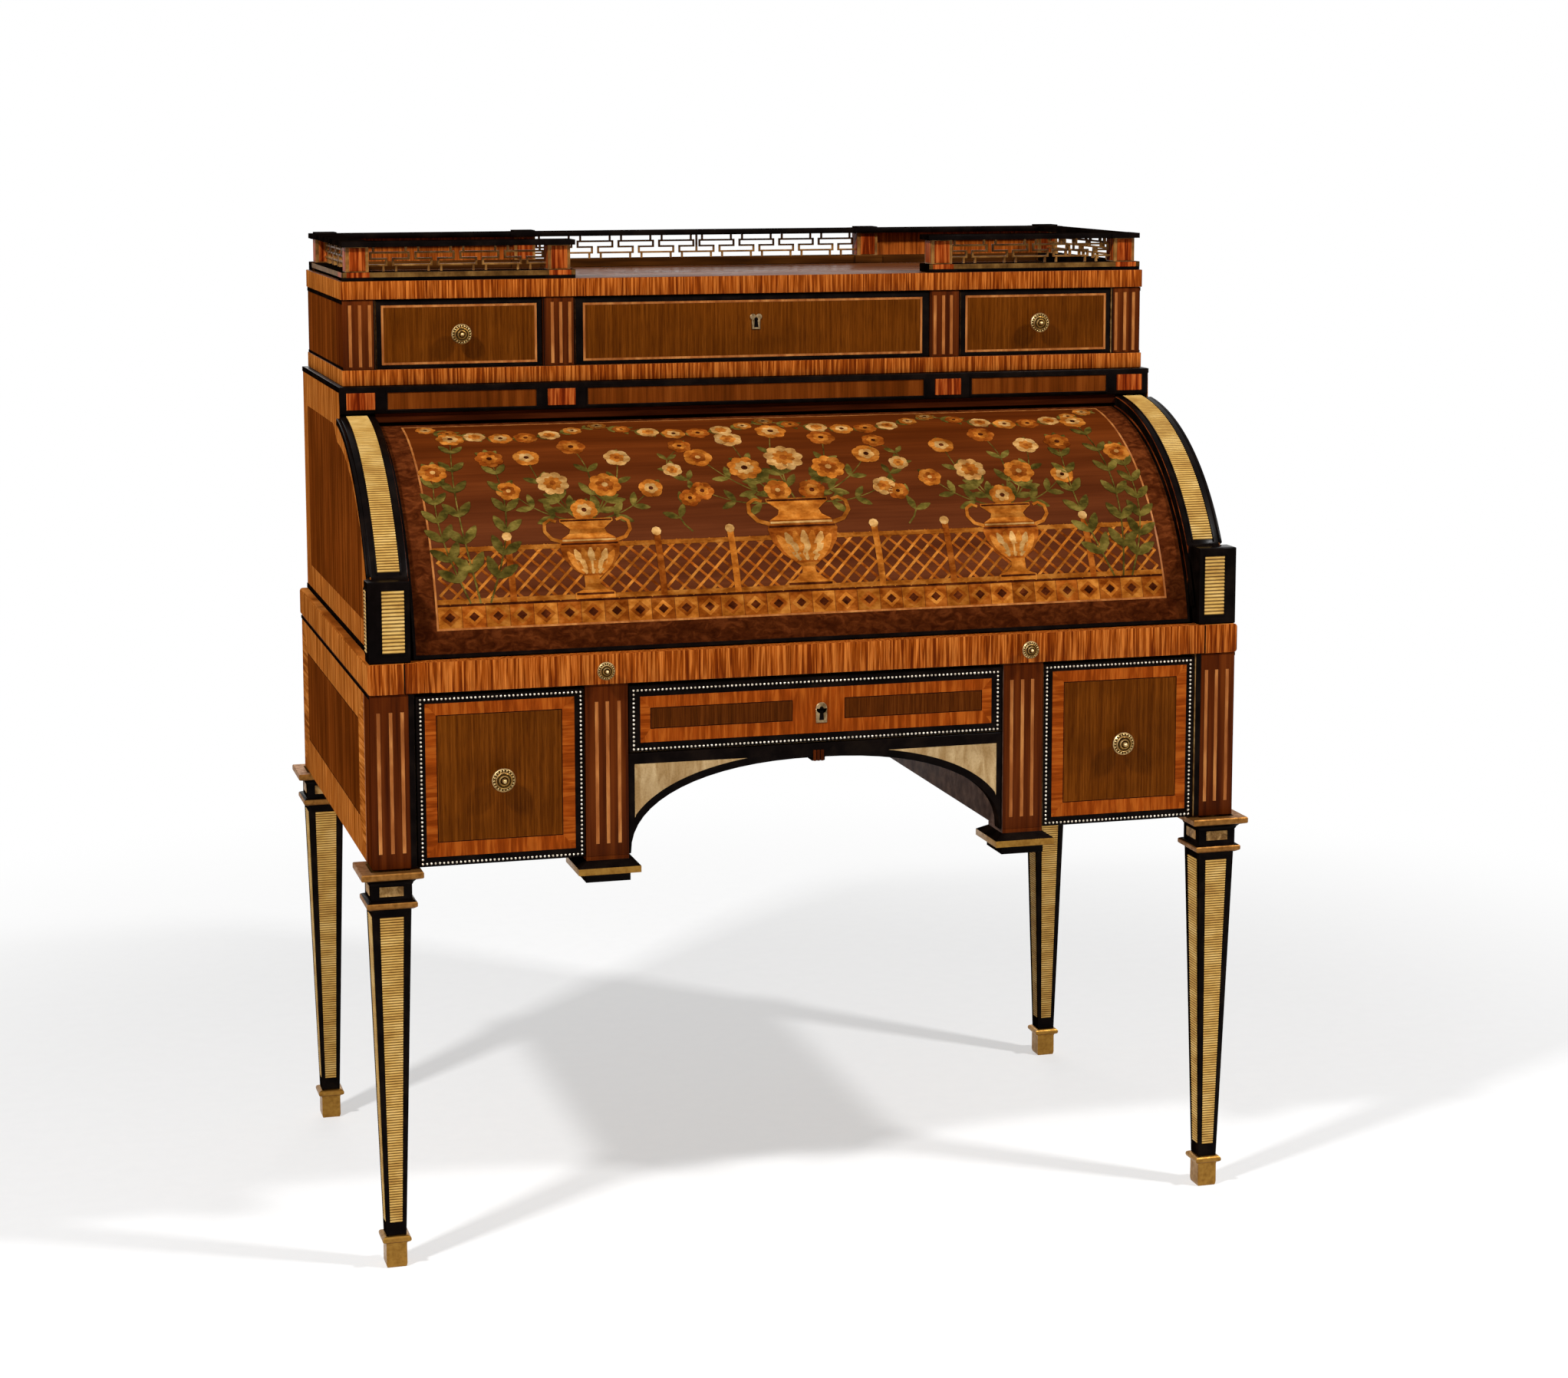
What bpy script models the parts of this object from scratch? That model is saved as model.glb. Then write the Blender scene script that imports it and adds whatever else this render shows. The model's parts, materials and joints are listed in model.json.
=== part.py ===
# Cylinder desk on square tapered legs. Drawing the writing slide forward turns the cylinder back
# over a nest of pigeonholes. Metres, +Z up, floor at z = 0, the front towards -Y.

import bpy
import bmesh
from math import asin, cos, degrees, pi, radians, sin, sqrt, tan
from mathutils import Matrix, Vector

for stale in list(bpy.data.objects):
    bpy.data.objects.remove(stale, do_unlink=True)

# Clearances
SEAT = 0.0003
RUN = 0.0015

# Lower carcase
WIDTH = 1.100
DEPTH = 0.637
LEG_HEIGHT = 0.494
CARCASE_HEIGHT = 0.210
SIDE_T = 0.018
BACK_T = 0.012
STILE_WIDTH = 0.053
STILE_DEPTH = 0.0285
KNEE_WIDTH = 0.4784
KNEE_T = 0.012
INNER_STILE_WIDTH = 0.0522
FLOOR_T = 0.010
DUST_T = 0.008
BED_T = 0.010

# Kneehole apron
APRON_T = 0.018
APRON_RECESS = 0.002
ARCH_FOOT = 0.0032
ARCH_RISE = 0.1055
ARCH_POWER = 2.25
KEYSTONE_WIDTH = 0.017
KEYSTONE_DROP = 0.0045

# Legs and sabots
LEG_INSET = 0.0215
NECK_HALF = 0.0247
SHAFT_TOP_HALF = 0.0237
SHAFT_FOOT_HALF = 0.0113
RING_HALF = 0.032
RING_HEIGHT = 0.0185
RING_DROP = 0.0275
CAP_HALF = 0.0405
CAP_HEIGHT = 0.008
CAP_COVE = 0.008
CAP_DROP = 0.0015
SABOT_HEIGHT = 0.0475
SABOT_FLOOR = 0.006
SABOT_FOOT_HALF = 0.0122
SABOT_BODY_HALF = 0.0152
SABOT_FLANGE_HALF = 0.0195
SABOT_FLANGE = 0.014

# Pendants under the inner pilasters
PENDANT_HALF = 0.0275
PENDANT_FLARE_HALF = 0.0385
PENDANT_FLARE = 0.012
PENDANT_MOULD = 0.008
PENDANT_BLOCK = 0.0115
PEG_INSET = 0.008
PEG_LENGTH = 0.006

# Writing slide and the band that carries it round the sides
BAND_HEIGHT = 0.0365
BAND_PROUD = 0.002
BAND_ROUND = 0.004
BAND_WIDTH = 0.0442
SLIDE_FRONT_T = 0.022
SLIDE_LENGTH = 0.482
SLIDE_SINK = 0.0065

# Pedestals, cheeks and cylinder
PEDESTAL_HEIGHT = 0.097
PEDESTAL_WIDTH = 0.050
PEDESTAL_DEPTH = 0.0292
PEDESTAL_LEDGE = 0.004
CHEEK_INSET = 0.0092
CHEEK_T = 0.0445
CHEEK_RADIUS = 0.319
AXIS_DROP = 0.051
CYLINDER_RECESS = 0.014
CYLINDER_T = 0.016
CYLINDER_END_GAP = 0.002
CYLINDER_TOP_DEG = 92.0
CYLINDER_OPEN_DEG = 76.0
BACK_BOARD_T = 0.011

# Iron arms, studs and brackets of the mechanism
ARM_GAP = 0.006
ARM_T = 0.006
ARM_FLANGE = 0.020
ARM_FLANGE_LOW_DEG = 12.0
ARM_FLANGE_HIGH_DEG = 90.0
ARM_SPOKE_DEG = 51.0
ARM_SPOKE_HALF = 0.020
ARM_HUB_RADIUS = 0.028
LEVER_DROP = 0.130
LEVER_WALL = 0.008
SLOT_HALF = 0.0098
PIN_RADIUS = 0.003
PIN_END = 0.002
STUD_RADIUS = 0.008
STUD_PLAY = 0.0005
STUD_SHANK_RADIUS = 0.0105
STUD_FLANGE_RADIUS = 0.0135
STUD_FLANGE_T = 0.006
STUD_COLLAR_RADIUS = 0.0125
STUD_COLLAR_T = 0.0016
BRACKET_GAP = 0.003
BRACKET_T = 0.0055
BRACKET_WIDTH = 0.028
BRACKET_FOOT = 0.012

# Nest of pigeonholes
NEST_BEHIND_AXIS = 0.074
NEST_DEPTH = 0.110
NEST_CLEAR = 0.0098
NEST_SIDE_GAP = 0.012
NEST_BED_T = 0.0055
NEST_BOARD = 0.006
NEST_ROW = 0.056
NEST_HOLES = 5
NEST_DRAWERS = 3
NEST_DRAWER_WALL = 0.005

# Frieze and upper case
FRIEZE_LEAD = 0.038
FRIEZE_HEIGHT = 0.034
FRIEZE_CLEAR = 0.001
FRIEZE_RAIL_T = 0.016
FRIEZE_RAIL_RECESS = 0.004
FRIEZE_RAIL_CLEAR = 0.003
UPPER_RECESS = 0.0127
UPPER_INSET = 0.0170
UPPER_BACK_INSET = 0.0105
UPPER_HEIGHT = 0.087
LOWER_BAND_HEIGHT = 0.020
CORNICE_HEIGHT = 0.023
CORNICE_PROUD = 0.002
UPPER_SIDE_T = 0.016
UPPER_STILE_WIDTH = 0.0405
UPPER_STILE_DEPTH = 0.018
UPPER_INNER_STILE = 0.0408
UPPER_CENTRE_WIDTH = 0.4764
UPPER_DIVIDER_T = 0.012
UPPER_BACK_T = 0.010

# Drawers
DRAWER_RECESS = 0.0015
DRAWER_FRONT_T = 0.020
DRAWER_WALL = 0.010
DRAWER_FLOOR = 0.006
DRAWER_HEAD = 0.0037
LOW_DRAWER_CLEAR = 0.1032
CENTRE_DRAWER_HEIGHT = 0.0816
UPPER_FRONT_T = 0.018
UPPER_DRAWER_CLEAR = 0.0268

# Turned knobs
LOW_KNOB_RADIUS = 0.0155
LOW_KNOB_LENGTH = 0.026
UPPER_KNOB_RADIUS = 0.014
UPPER_KNOB_LENGTH = 0.024
SLIDE_KNOB_RADIUS = 0.0118
SLIDE_KNOB_LENGTH = 0.022
SLIDE_KNOB_X = 0.2688

# Gallery
GALLERY_HEIGHT = 0.0485
GALLERY_INSET = 0.0065
GALLERY_POST = 0.0285
GALLERY_RAIL = 0.0345
GALLERY_BREAK = 0.0055
GALLERY_PLINTH = 0.0107
GALLERY_CAP = 0.0067
GALLERY_PAD = 0.002
GALLERY_FRONT_LENGTH = 0.285
GALLERY_REAR_POST_X = 0.2435
GALLERY_REAR_INSET = 0.013
GALLERY_PANEL_T = 0.008
FRET_T = 0.004
FRET_BAR = 0.0024
FRET_UNIT = 0.057
FRET_STEM = 0.0086
FRET_HEAD = 0.016

# Facets of round work
ARC_STEPS = 16
ROUND_SIDES = 20

# Planes worked out from the sizes above
CAP_PROUD = CAP_HALF - LEG_INSET
KNOB_REACH = LOW_KNOB_LENGTH - DRAWER_RECESS + SEAT
X_SIDE = WIDTH / 2
FRONT = (KNOB_REACH - CAP_PROUD - DEPTH) / 2
BACK = FRONT + DEPTH
X_KNEE = KNEE_WIDTH / 2
Z_TOP = LEG_HEIGHT + CARCASE_HEIGHT
Z_BAND = Z_TOP + SEAT
Z_DESK = Z_BAND + BAND_HEIGHT
Z_PEDESTAL = Z_DESK + SEAT + PEDESTAL_HEIGHT
AXIS_Z = Z_DESK - AXIS_DROP
CHEEK_START = degrees(asin((Z_PEDESTAL + SEAT - AXIS_Z) / CHEEK_RADIUS))
PEDESTAL_BACK = FRONT + PEDESTAL_DEPTH
AXIS_Y = PEDESTAL_BACK + PEDESTAL_LEDGE + CHEEK_RADIUS * cos(radians(CHEEK_START))
X_CHEEK_OUT = X_SIDE - CHEEK_INSET
X_CHEEK = X_CHEEK_OUT - CHEEK_T
CYLINDER_RADIUS = CHEEK_RADIUS - CYLINDER_RECESS
CYLINDER_BORE = CYLINDER_RADIUS - CYLINDER_T
Z_FRIEZE = AXIS_Z + CHEEK_RADIUS + FRIEZE_CLEAR
Z_LOWER_BAND = Z_FRIEZE + FRIEZE_HEIGHT + SEAT
Z_UPPER = Z_LOWER_BAND + LOWER_BAND_HEIGHT + SEAT
Z_CORNICE = Z_UPPER + UPPER_HEIGHT + SEAT
Z_GALLERY = Z_CORNICE + CORNICE_HEIGHT + SEAT
Y_FRIEZE = AXIS_Y - FRIEZE_LEAD
Y_UPPER = Y_FRIEZE + UPPER_RECESS
Y_UPPER_BACK = BACK - UPPER_BACK_INSET
X_UPPER = X_SIDE - UPPER_INSET
X_ARM_OUT = X_CHEEK - ARM_GAP
X_ARM = X_ARM_OUT - ARM_T
X_BRACKET_OUT = X_ARM - BRACKET_GAP
X_BRACKET = X_BRACKET_OUT - BRACKET_T
X_SLIDE = X_BRACKET - SEAT
X_BED = X_SLIDE - RUN
SLIDE_TRAVEL = 2 * LEVER_DROP * tan(radians(CYLINDER_OPEN_DEG) / 2)
PIN_Y = AXIS_Y + SLIDE_TRAVEL / 2
PIN_Z = AXIS_Z - LEVER_DROP
NEST_Y = AXIS_Y + NEST_BEHIND_AXIS
X_NEST = X_ARM - NEST_SIDE_GAP
SIDES = (("left", -1), ("right", 1))

COLOURS = {
    "striped_wood": ((0.42, 0.15, 0.04), 0.35, 0.0),
    "brown_wood": ((0.22, 0.09, 0.03), 0.35, 0.0),
    "red_wood": ((0.13, 0.04, 0.02), 0.32, 0.0),
    "ebonised": ((0.015, 0.012, 0.01), 0.3, 0.0),
    "pale_wood": ((0.62, 0.44, 0.20), 0.38, 0.0),
    "oak": ((0.45, 0.30, 0.16), 0.55, 0.0),
    "gilt_brass": ((0.80, 0.55, 0.20), 0.28, 1.0),
    "iron": ((0.20, 0.19, 0.18), 0.5, 1.0),
}


def material(key):
    found = bpy.data.materials.get(key)
    if found:
        return found
    colour, roughness, metallic = COLOURS[key]
    made = bpy.data.materials.new(key)
    made.use_nodes = True
    shader = made.node_tree.nodes["Principled BSDF"]
    shader.inputs["Base Color"].default_value = (*colour, 1.0)
    shader.inputs["Roughness"].default_value = roughness
    shader.inputs["Metallic"].default_value = metallic
    return made


# Turns a bmesh in world places into a named object whose origin is at the given point.
def finish(name, bm, finish_key, origin=(0, 0, 0), smooth=False):
    bmesh.ops.recalc_face_normals(bm, faces=bm.faces)
    mesh = bpy.data.meshes.new(name)
    bm.to_mesh(mesh)
    bm.free()
    mesh.transform(Matrix.Translation(-Vector(origin)))
    if smooth:
        mesh.shade_smooth()
        mesh.set_sharp_from_angle(angle=radians(35))
    made = bpy.data.objects.new(name, mesh)
    made.location = origin
    made.data.materials.append(material(finish_key))
    bpy.context.scene.collection.objects.link(made)
    return made


# Lets a piece move with the one that carries it, where it stands.
def carry(child, carrier):
    child.parent = carrier
    child.matrix_parent_inverse = Matrix.Translation(-carrier.location)
    return child


# Extrudes a flat outline along one axis; the outline's two numbers are the other two axes in order.
def prism(name, outline, axis, low, high, finish_key, origin=(0, 0, 0)):
    slot = "xyz".index(axis)
    bm = bmesh.new()
    rings = []
    for level in (low, high):
        ring = []
        for pair in outline:
            place = list(pair)
            place.insert(slot, level)
            ring.append(bm.verts.new(place))
        rings.append(ring)
    bm.faces.new(rings[0])
    bm.faces.new(rings[1])
    count = len(outline)
    for i in range(count):
        j = (i + 1) % count
        bm.faces.new((rings[0][i], rings[0][j], rings[1][j], rings[1][i]))
    return finish(name, bm, finish_key, origin)


# Joins square-edged boards, each (x0, x1, y0, y1, z0, z1), into one glued-up body.
def boards(name, parts, finish_key, origin=(0, 0, 0)):
    lines = []
    for axis in range(3):
        ends = sorted({round(v, 7) for part in parts for v in part[2 * axis:2 * axis + 2]})
        lines.append(ends)
    filled = set()
    for part in parts:
        spans = []
        for axis in range(3):
            low = lines[axis].index(round(part[2 * axis], 7))
            high = lines[axis].index(round(part[2 * axis + 1], 7))
            spans.append(range(low, high))
        filled.update((i, j, k) for i in spans[0] for j in spans[1] for k in spans[2])
    bm = bmesh.new()
    corners = {}

    def corner(key):
        if key not in corners:
            corners[key] = bm.verts.new([lines[axis][key[axis]] for axis in range(3)])
        return corners[key]

    for cell in sorted(filled):
        for axis in range(3):
            for step in (0, 1):
                beside = list(cell)
                beside[axis] += 1 if step else -1
                if tuple(beside) in filled:
                    continue
                others = [a for a in range(3) if a != axis]
                face = []
                for du, dv in ((0, 0), (1, 0), (1, 1), (0, 1)):
                    key = list(cell)
                    key[axis] += step
                    key[others[0]] += du
                    key[others[1]] += dv
                    face.append(corner(tuple(key)))
                bm.faces.new(face)
    bmesh.ops.recalc_face_normals(bm, faces=bm.faces)
    bmesh.ops.dissolve_limit(bm, angle_limit=radians(0.5), verts=bm.verts, edges=bm.edges)
    return finish(name, bm, finish_key, origin)


def board(name, x0, x1, y0, y1, z0, z1, finish_key, origin=(0, 0, 0)):
    return boards(name, [(x0, x1, y0, y1, z0, z1)], finish_key, origin)


# A square-section turning: the profile's (half width, height) pairs run along the piece.
def squared(name, profile, x, y, finish_key):
    bm = bmesh.new()
    rings = []
    for half, z in profile:
        around = ((-1, -1), (1, -1), (1, 1), (-1, 1))
        rings.append([bm.verts.new((x + half * u, y + half * v, z)) for u, v in around])
    bm.faces.new(rings[0])
    bm.faces.new(rings[-1])
    for lower, upper in zip(rings, rings[1:]):
        for i in range(4):
            j = (i + 1) % 4
            bm.faces.new((lower[i], lower[j], upper[j], upper[i]))
    return finish(name, bm, finish_key, (x, y, profile[0][1]))


# A round turning about a line along one axis: (radius, distance) pairs from the given place.
def turned(name, profile, place, axis, sign, finish_key):
    slot = "xyz".index(axis)
    bm = bmesh.new()
    rings = []
    for radius, along in profile:
        ring = []
        for i in range(ROUND_SIDES):
            turn = 2 * pi * i / ROUND_SIDES
            spot = [radius * cos(turn), radius * sin(turn)]
            spot.insert(slot, sign * along)
            ring.append(bm.verts.new(Vector(place) + Vector(spot)))
        rings.append(ring)
    bm.faces.new(rings[0])
    bm.faces.new(rings[-1])
    for lower, upper in zip(rings, rings[1:]):
        for i in range(ROUND_SIDES):
            j = (i + 1) % ROUND_SIDES
            bm.faces.new((lower[i], lower[j], upper[j], upper[i]))
    return finish(name, bm, finish_key, place, smooth=True)


# Applies one Boolean to a piece and removes the tool.
def combine(piece, tool, operation):
    step = piece.modifiers.new(operation.lower(), "BOOLEAN")
    step.operation = operation
    step.solver = "EXACT"
    step.object = tool
    bpy.context.view_layer.update()
    view = piece.evaluated_get(bpy.context.evaluated_depsgraph_get())
    mesh = bpy.data.meshes.new_from_object(view)
    piece.modifiers.clear()
    piece.data = mesh
    bpy.data.objects.remove(tool, do_unlink=True)
    return piece


# A point in the (y, z) plane at a radius from the cylinder's axis, by the angle above the front.
def polar(radius, angle):
    return (AXIS_Y - radius * cos(radians(angle)), AXIS_Z + radius * sin(radians(angle)))


def sweep(radius, start, end, steps):
    return [polar(radius, start + (end - start) * i / steps) for i in range(steps + 1)]


# Leg: shaft, necking ring and cap are one moulded piece, with its foot down in the sabot.
FOOT_Z = SABOT_FLOOR + SEAT
RING_TOP = LEG_HEIGHT - RING_DROP
RING_FOOT = RING_TOP - RING_HEIGHT
CAP_TOP = LEG_HEIGHT - CAP_DROP
CAP_FOOT = CAP_TOP - CAP_HEIGHT


def shaft_half(z):
    along = (z - FOOT_Z) / (RING_FOOT - FOOT_Z)
    return SHAFT_FOOT_HALF + (SHAFT_TOP_HALF - SHAFT_FOOT_HALF) * along


def leg_profile():
    swell = RING_HALF - NECK_HALF
    spread = CAP_HALF - NECK_HALF
    ring = [
        (RING_HALF - 0.25 * swell, RING_FOOT + 0.1 * RING_HEIGHT),
        (RING_HALF, RING_FOOT + 0.3 * RING_HEIGHT),
        (RING_HALF, RING_FOOT + 0.65 * RING_HEIGHT),
        (RING_HALF - 0.45 * swell, RING_FOOT + 0.9 * RING_HEIGHT),
        (NECK_HALF, RING_TOP),
    ]
    cap = [
        (NECK_HALF, CAP_FOOT - CAP_COVE),
        (NECK_HALF + 0.3 * spread, CAP_FOOT - 0.45 * CAP_COVE),
        (NECK_HALF + 0.9 * spread, CAP_FOOT),
        (CAP_HALF, CAP_FOOT + 0.15 * CAP_HEIGHT),
        (CAP_HALF, CAP_TOP - 0.1 * CAP_HEIGHT),
        (CAP_HALF - 0.1 * spread, CAP_TOP),
        (NECK_HALF, CAP_TOP),
        (NECK_HALF, LEG_HEIGHT - SEAT),
    ]
    return [(SHAFT_FOOT_HALF, FOOT_Z), (SHAFT_TOP_HALF, RING_FOOT)] + ring + cap


# The sabot's outside runs up to its flange, then its socket runs down round the leg's foot.
def sabot_profile():
    flange_foot = SABOT_HEIGHT - SABOT_FLANGE
    outside = [
        (SABOT_FOOT_HALF, 0.0),
        (SABOT_BODY_HALF, 0.2 * flange_foot),
        (SABOT_BODY_HALF, flange_foot),
        (SABOT_FLANGE_HALF, flange_foot + 0.2 * SABOT_FLANGE),
        (SABOT_FLANGE_HALF, SABOT_HEIGHT - 0.25 * SABOT_FLANGE),
        (0.5 * (SABOT_FLANGE_HALF + SABOT_BODY_HALF), SABOT_HEIGHT),
    ]
    socket = [(shaft_half(z) + SEAT, z) for z in (SABOT_HEIGHT, SABOT_FLOOR)]
    return outside + socket


for end, leg_y in (("front", FRONT + LEG_INSET), ("back", BACK - LEG_INSET)):
    for side, sign in SIDES:
        leg_x = sign * (X_SIDE - LEG_INSET)
        squared(f"leg_{end}_{side}", leg_profile(), leg_x, leg_y, "ebonised")
        squared(f"sabot_{end}_{side}", sabot_profile(), leg_x, leg_y, "gilt_brass")


# Lower carcase. Each side is a panel with a front corner stile and a back one. A knee side has
# the inner stile glued to its front, and a moulded pendant pegged under it.
def mirrored(outline, sign):
    return [(sign * x, y) for x, y in outline]


def span(sign, low, high):
    return (low, high) if sign > 0 else (-high, -low)


CARCASE_BACK = BACK - BACK_T - SEAT
CARCASE_FRONT = FRONT + STILE_DEPTH + SEAT
X_STILE = X_SIDE - STILE_WIDTH
X_PANEL = X_SIDE - SIDE_T
X_INNER_STILE = X_KNEE + INNER_STILE_WIDTH
Z_CENTRE_FOOT = Z_TOP - DRAWER_HEAD - CENTRE_DRAWER_HEIGHT
Z_APRON = Z_CENTRE_FOOT - RUN
Z_DUST = Z_CENTRE_FOOT - SEAT
Z_KNEE = Z_DUST - DUST_T
Z_FLOOR = LEG_HEIGHT + FLOOR_T

for side, sign in SIDES:
    plan = [
        (X_STILE, FRONT), (X_SIDE, FRONT), (X_SIDE, BACK), (X_STILE, BACK),
        (X_STILE, BACK - BACK_T), (X_PANEL, BACK - BACK_T),
        (X_PANEL, FRONT + STILE_DEPTH), (X_STILE, FRONT + STILE_DEPTH),
    ]
    prism(f"side_{side}", mirrored(plan, sign), "z", LEG_HEIGHT, Z_TOP, "brown_wood")
    knee = boards(f"knee_side_{side}", [
        (*span(sign, X_KNEE, X_INNER_STILE), FRONT, FRONT + STILE_DEPTH, LEG_HEIGHT, Z_TOP),
        (*span(sign, X_KNEE, X_KNEE + KNEE_T), FRONT, CARCASE_BACK, LEG_HEIGHT, Z_TOP - BED_T - SEAT),
        (*span(sign, X_KNEE + PEG_INSET, X_INNER_STILE - PEG_INSET), FRONT + PEG_INSET,
         FRONT + STILE_DEPTH - PEG_INSET, LEG_HEIGHT - PEG_LENGTH, Z_TOP),
    ], "red_wood")
    board(f"floor_{side}", *span(sign, X_KNEE + KNEE_T + SEAT, X_PANEL - SEAT),
          CARCASE_FRONT, CARCASE_BACK, LEG_HEIGHT, Z_FLOOR, "oak")
    neck_half = INNER_STILE_WIDTH / 2
    flare_foot = LEG_HEIGHT - SEAT - PENDANT_FLARE
    mould_foot = flare_foot - PENDANT_MOULD
    pendant = squared("pendant", [
        (neck_half, LEG_HEIGHT - SEAT),
        (neck_half, LEG_HEIGHT - SEAT - 0.4 * PENDANT_FLARE),
        (PENDANT_FLARE_HALF, flare_foot),
        (PENDANT_FLARE_HALF, mould_foot),
        (PENDANT_HALF, mould_foot - 0.15 * PENDANT_MOULD),
        (PENDANT_HALF, mould_foot - PENDANT_BLOCK),
    ], sign * (X_KNEE + INNER_STILE_WIDTH / 2), FRONT + INNER_STILE_WIDTH / 2, "ebonised")
    combine(knee, pendant, "UNION")

back_half = X_STILE - SEAT
back_outline = [
    (-back_half, LEG_HEIGHT), (-X_KNEE, LEG_HEIGHT), (-X_KNEE, Z_KNEE), (X_KNEE, Z_KNEE),
    (X_KNEE, LEG_HEIGHT), (back_half, LEG_HEIGHT), (back_half, Z_TOP), (-back_half, Z_TOP),
]
prism("lower_back", back_outline, "y", BACK - BACK_T, BACK, "brown_wood")

apron_half = X_KNEE - SEAT
apron_front = FRONT + APRON_RECESS
board("dust_board", -apron_half, apron_half, apron_front + APRON_T + SEAT, CARCASE_BACK,
      Z_KNEE, Z_DUST, "oak")
board("slide_bed", -X_BED, X_BED, CARCASE_FRONT, CARCASE_BACK, Z_TOP - BED_T, Z_TOP, "oak")


# Height of the arch over the carcase's underside at a distance from the middle.
def arch(x):
    share = min(1.0, abs(x) / (X_KNEE - ARCH_FOOT))
    return LEG_HEIGHT + ARCH_RISE * (1 - share ** ARCH_POWER) ** (1 / ARCH_POWER)


arch_half = X_KNEE - ARCH_FOOT
arch_line = []
for i in range(ARC_STEPS + 1):
    turn = pi / 2 * i / ARC_STEPS
    x = arch_half * cos(turn) ** (2 / ARCH_POWER)
    if x > KEYSTONE_WIDTH / 2:
        arch_line.append((x, arch(x)))
key_foot = LEG_HEIGHT + ARCH_RISE - KEYSTONE_DROP
key_line = [(KEYSTONE_WIDTH / 2, arch(KEYSTONE_WIDTH / 2)), (KEYSTONE_WIDTH / 2, key_foot)]
half_line = arch_line + key_line
apron_outline = [(apron_half, LEG_HEIGHT)] + half_line
apron_outline += [(-x, z) for x, z in reversed(half_line)] + [(-apron_half, LEG_HEIGHT)]
apron_outline += [(-apron_half, Z_APRON), (apron_half, Z_APRON)]
prism("arch_apron", apron_outline, "y", apron_front, apron_front + APRON_T, "pale_wood")


# Knob: a stem, a domed button with two turned rings, and a small centre boss.
def knob(name, radius, length, x, y, z, carrier):
    profile = [
        (0.55 * radius, 0.0),
        (0.42 * radius, 0.18 * length),
        (0.50 * radius, 0.36 * length),
        (0.96 * radius, 0.48 * length),
        (radius, 0.58 * length),
        (0.93 * radius, 0.72 * length),
        (0.70 * radius, 0.84 * length),
        (0.62 * radius, 0.80 * length),
        (0.45 * radius, 0.92 * length),
        (0.20 * radius, length),
    ]
    return carry(turned(name, profile, (x, y - SEAT, z), "y", -1, "gilt_brass"), carrier)


# Drawer: a front board with an open box glued behind it.
def drawer(name, front, front_y, front_t, box, end, wall, finish_key):
    x0, x1, z0, z1 = front
    bx0, bx1, bz0, bz1 = box
    behind = front_y + front_t
    origin = ((x0 + x1) / 2, front_y, (z0 + z1) / 2)
    return boards(name, [
        (x0, x1, front_y, behind, z0, z1),
        (bx0, bx0 + wall, behind, end, bz0, bz1),
        (bx1 - wall, bx1, behind, end, bz0, bz1),
        (bx0, bx1, end - wall, end, bz0, bz1),
        (bx0, bx1, behind, end, bz0, bz0 + DRAWER_FLOOR),
    ], finish_key, origin)


low_front_y = FRONT + DRAWER_RECESS
low_head = Z_TOP - DRAWER_HEAD
low_end = CARCASE_BACK - LOW_DRAWER_CLEAR
box_head = Z_TOP - BED_T - RUN
low_front = (X_INNER_STILE + RUN, X_STILE - RUN, LEG_HEIGHT, low_head)
low_box = (X_INNER_STILE + RUN, X_BED - RUN, Z_FLOOR + SEAT, box_head)
for side, sign in SIDES:
    front = (*span(sign, *low_front[:2]), *low_front[2:])
    box = (*span(sign, *low_box[:2]), *low_box[2:])
    made = drawer(f"lower_drawer_{side}", front, low_front_y, DRAWER_FRONT_T, box,
                  low_end, DRAWER_WALL, "striped_wood")
    knob(f"lower_knob_{side}", LOW_KNOB_RADIUS, LOW_KNOB_LENGTH, made.location.x, low_front_y,
         made.location.z, made)

centre_half = X_KNEE - RUN
drawer("lower_drawer_centre", (-centre_half, centre_half, Z_CENTRE_FOOT, low_head), low_front_y,
       DRAWER_FRONT_T, (-centre_half + RUN, centre_half - RUN, Z_DUST + SEAT, box_head),
       low_end, DRAWER_WALL, "striped_wood")


# A band's outer edge is eased top and bottom.
def band_outline(sign):
    inner = X_SIDE + BAND_PROUD - BAND_WIDTH
    outer = X_SIDE + BAND_PROUD
    outline = [(inner, Z_BAND)]
    for start, z in ((-90, Z_BAND + BAND_ROUND), (0, Z_DESK - BAND_ROUND)):
        for i in range(4):
            turn = radians(start + 30 * i)
            outline.append((outer - BAND_ROUND + BAND_ROUND * cos(turn), z + BAND_ROUND * sin(turn)))
    outline.append((inner, Z_DESK))
    return [(sign * x, z) for x, z in outline]


band_front = FRONT - BAND_PROUD
for side, sign in SIDES:
    prism(f"band_{side}", band_outline(sign), "y", band_front, BACK, "striped_wood")

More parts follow.
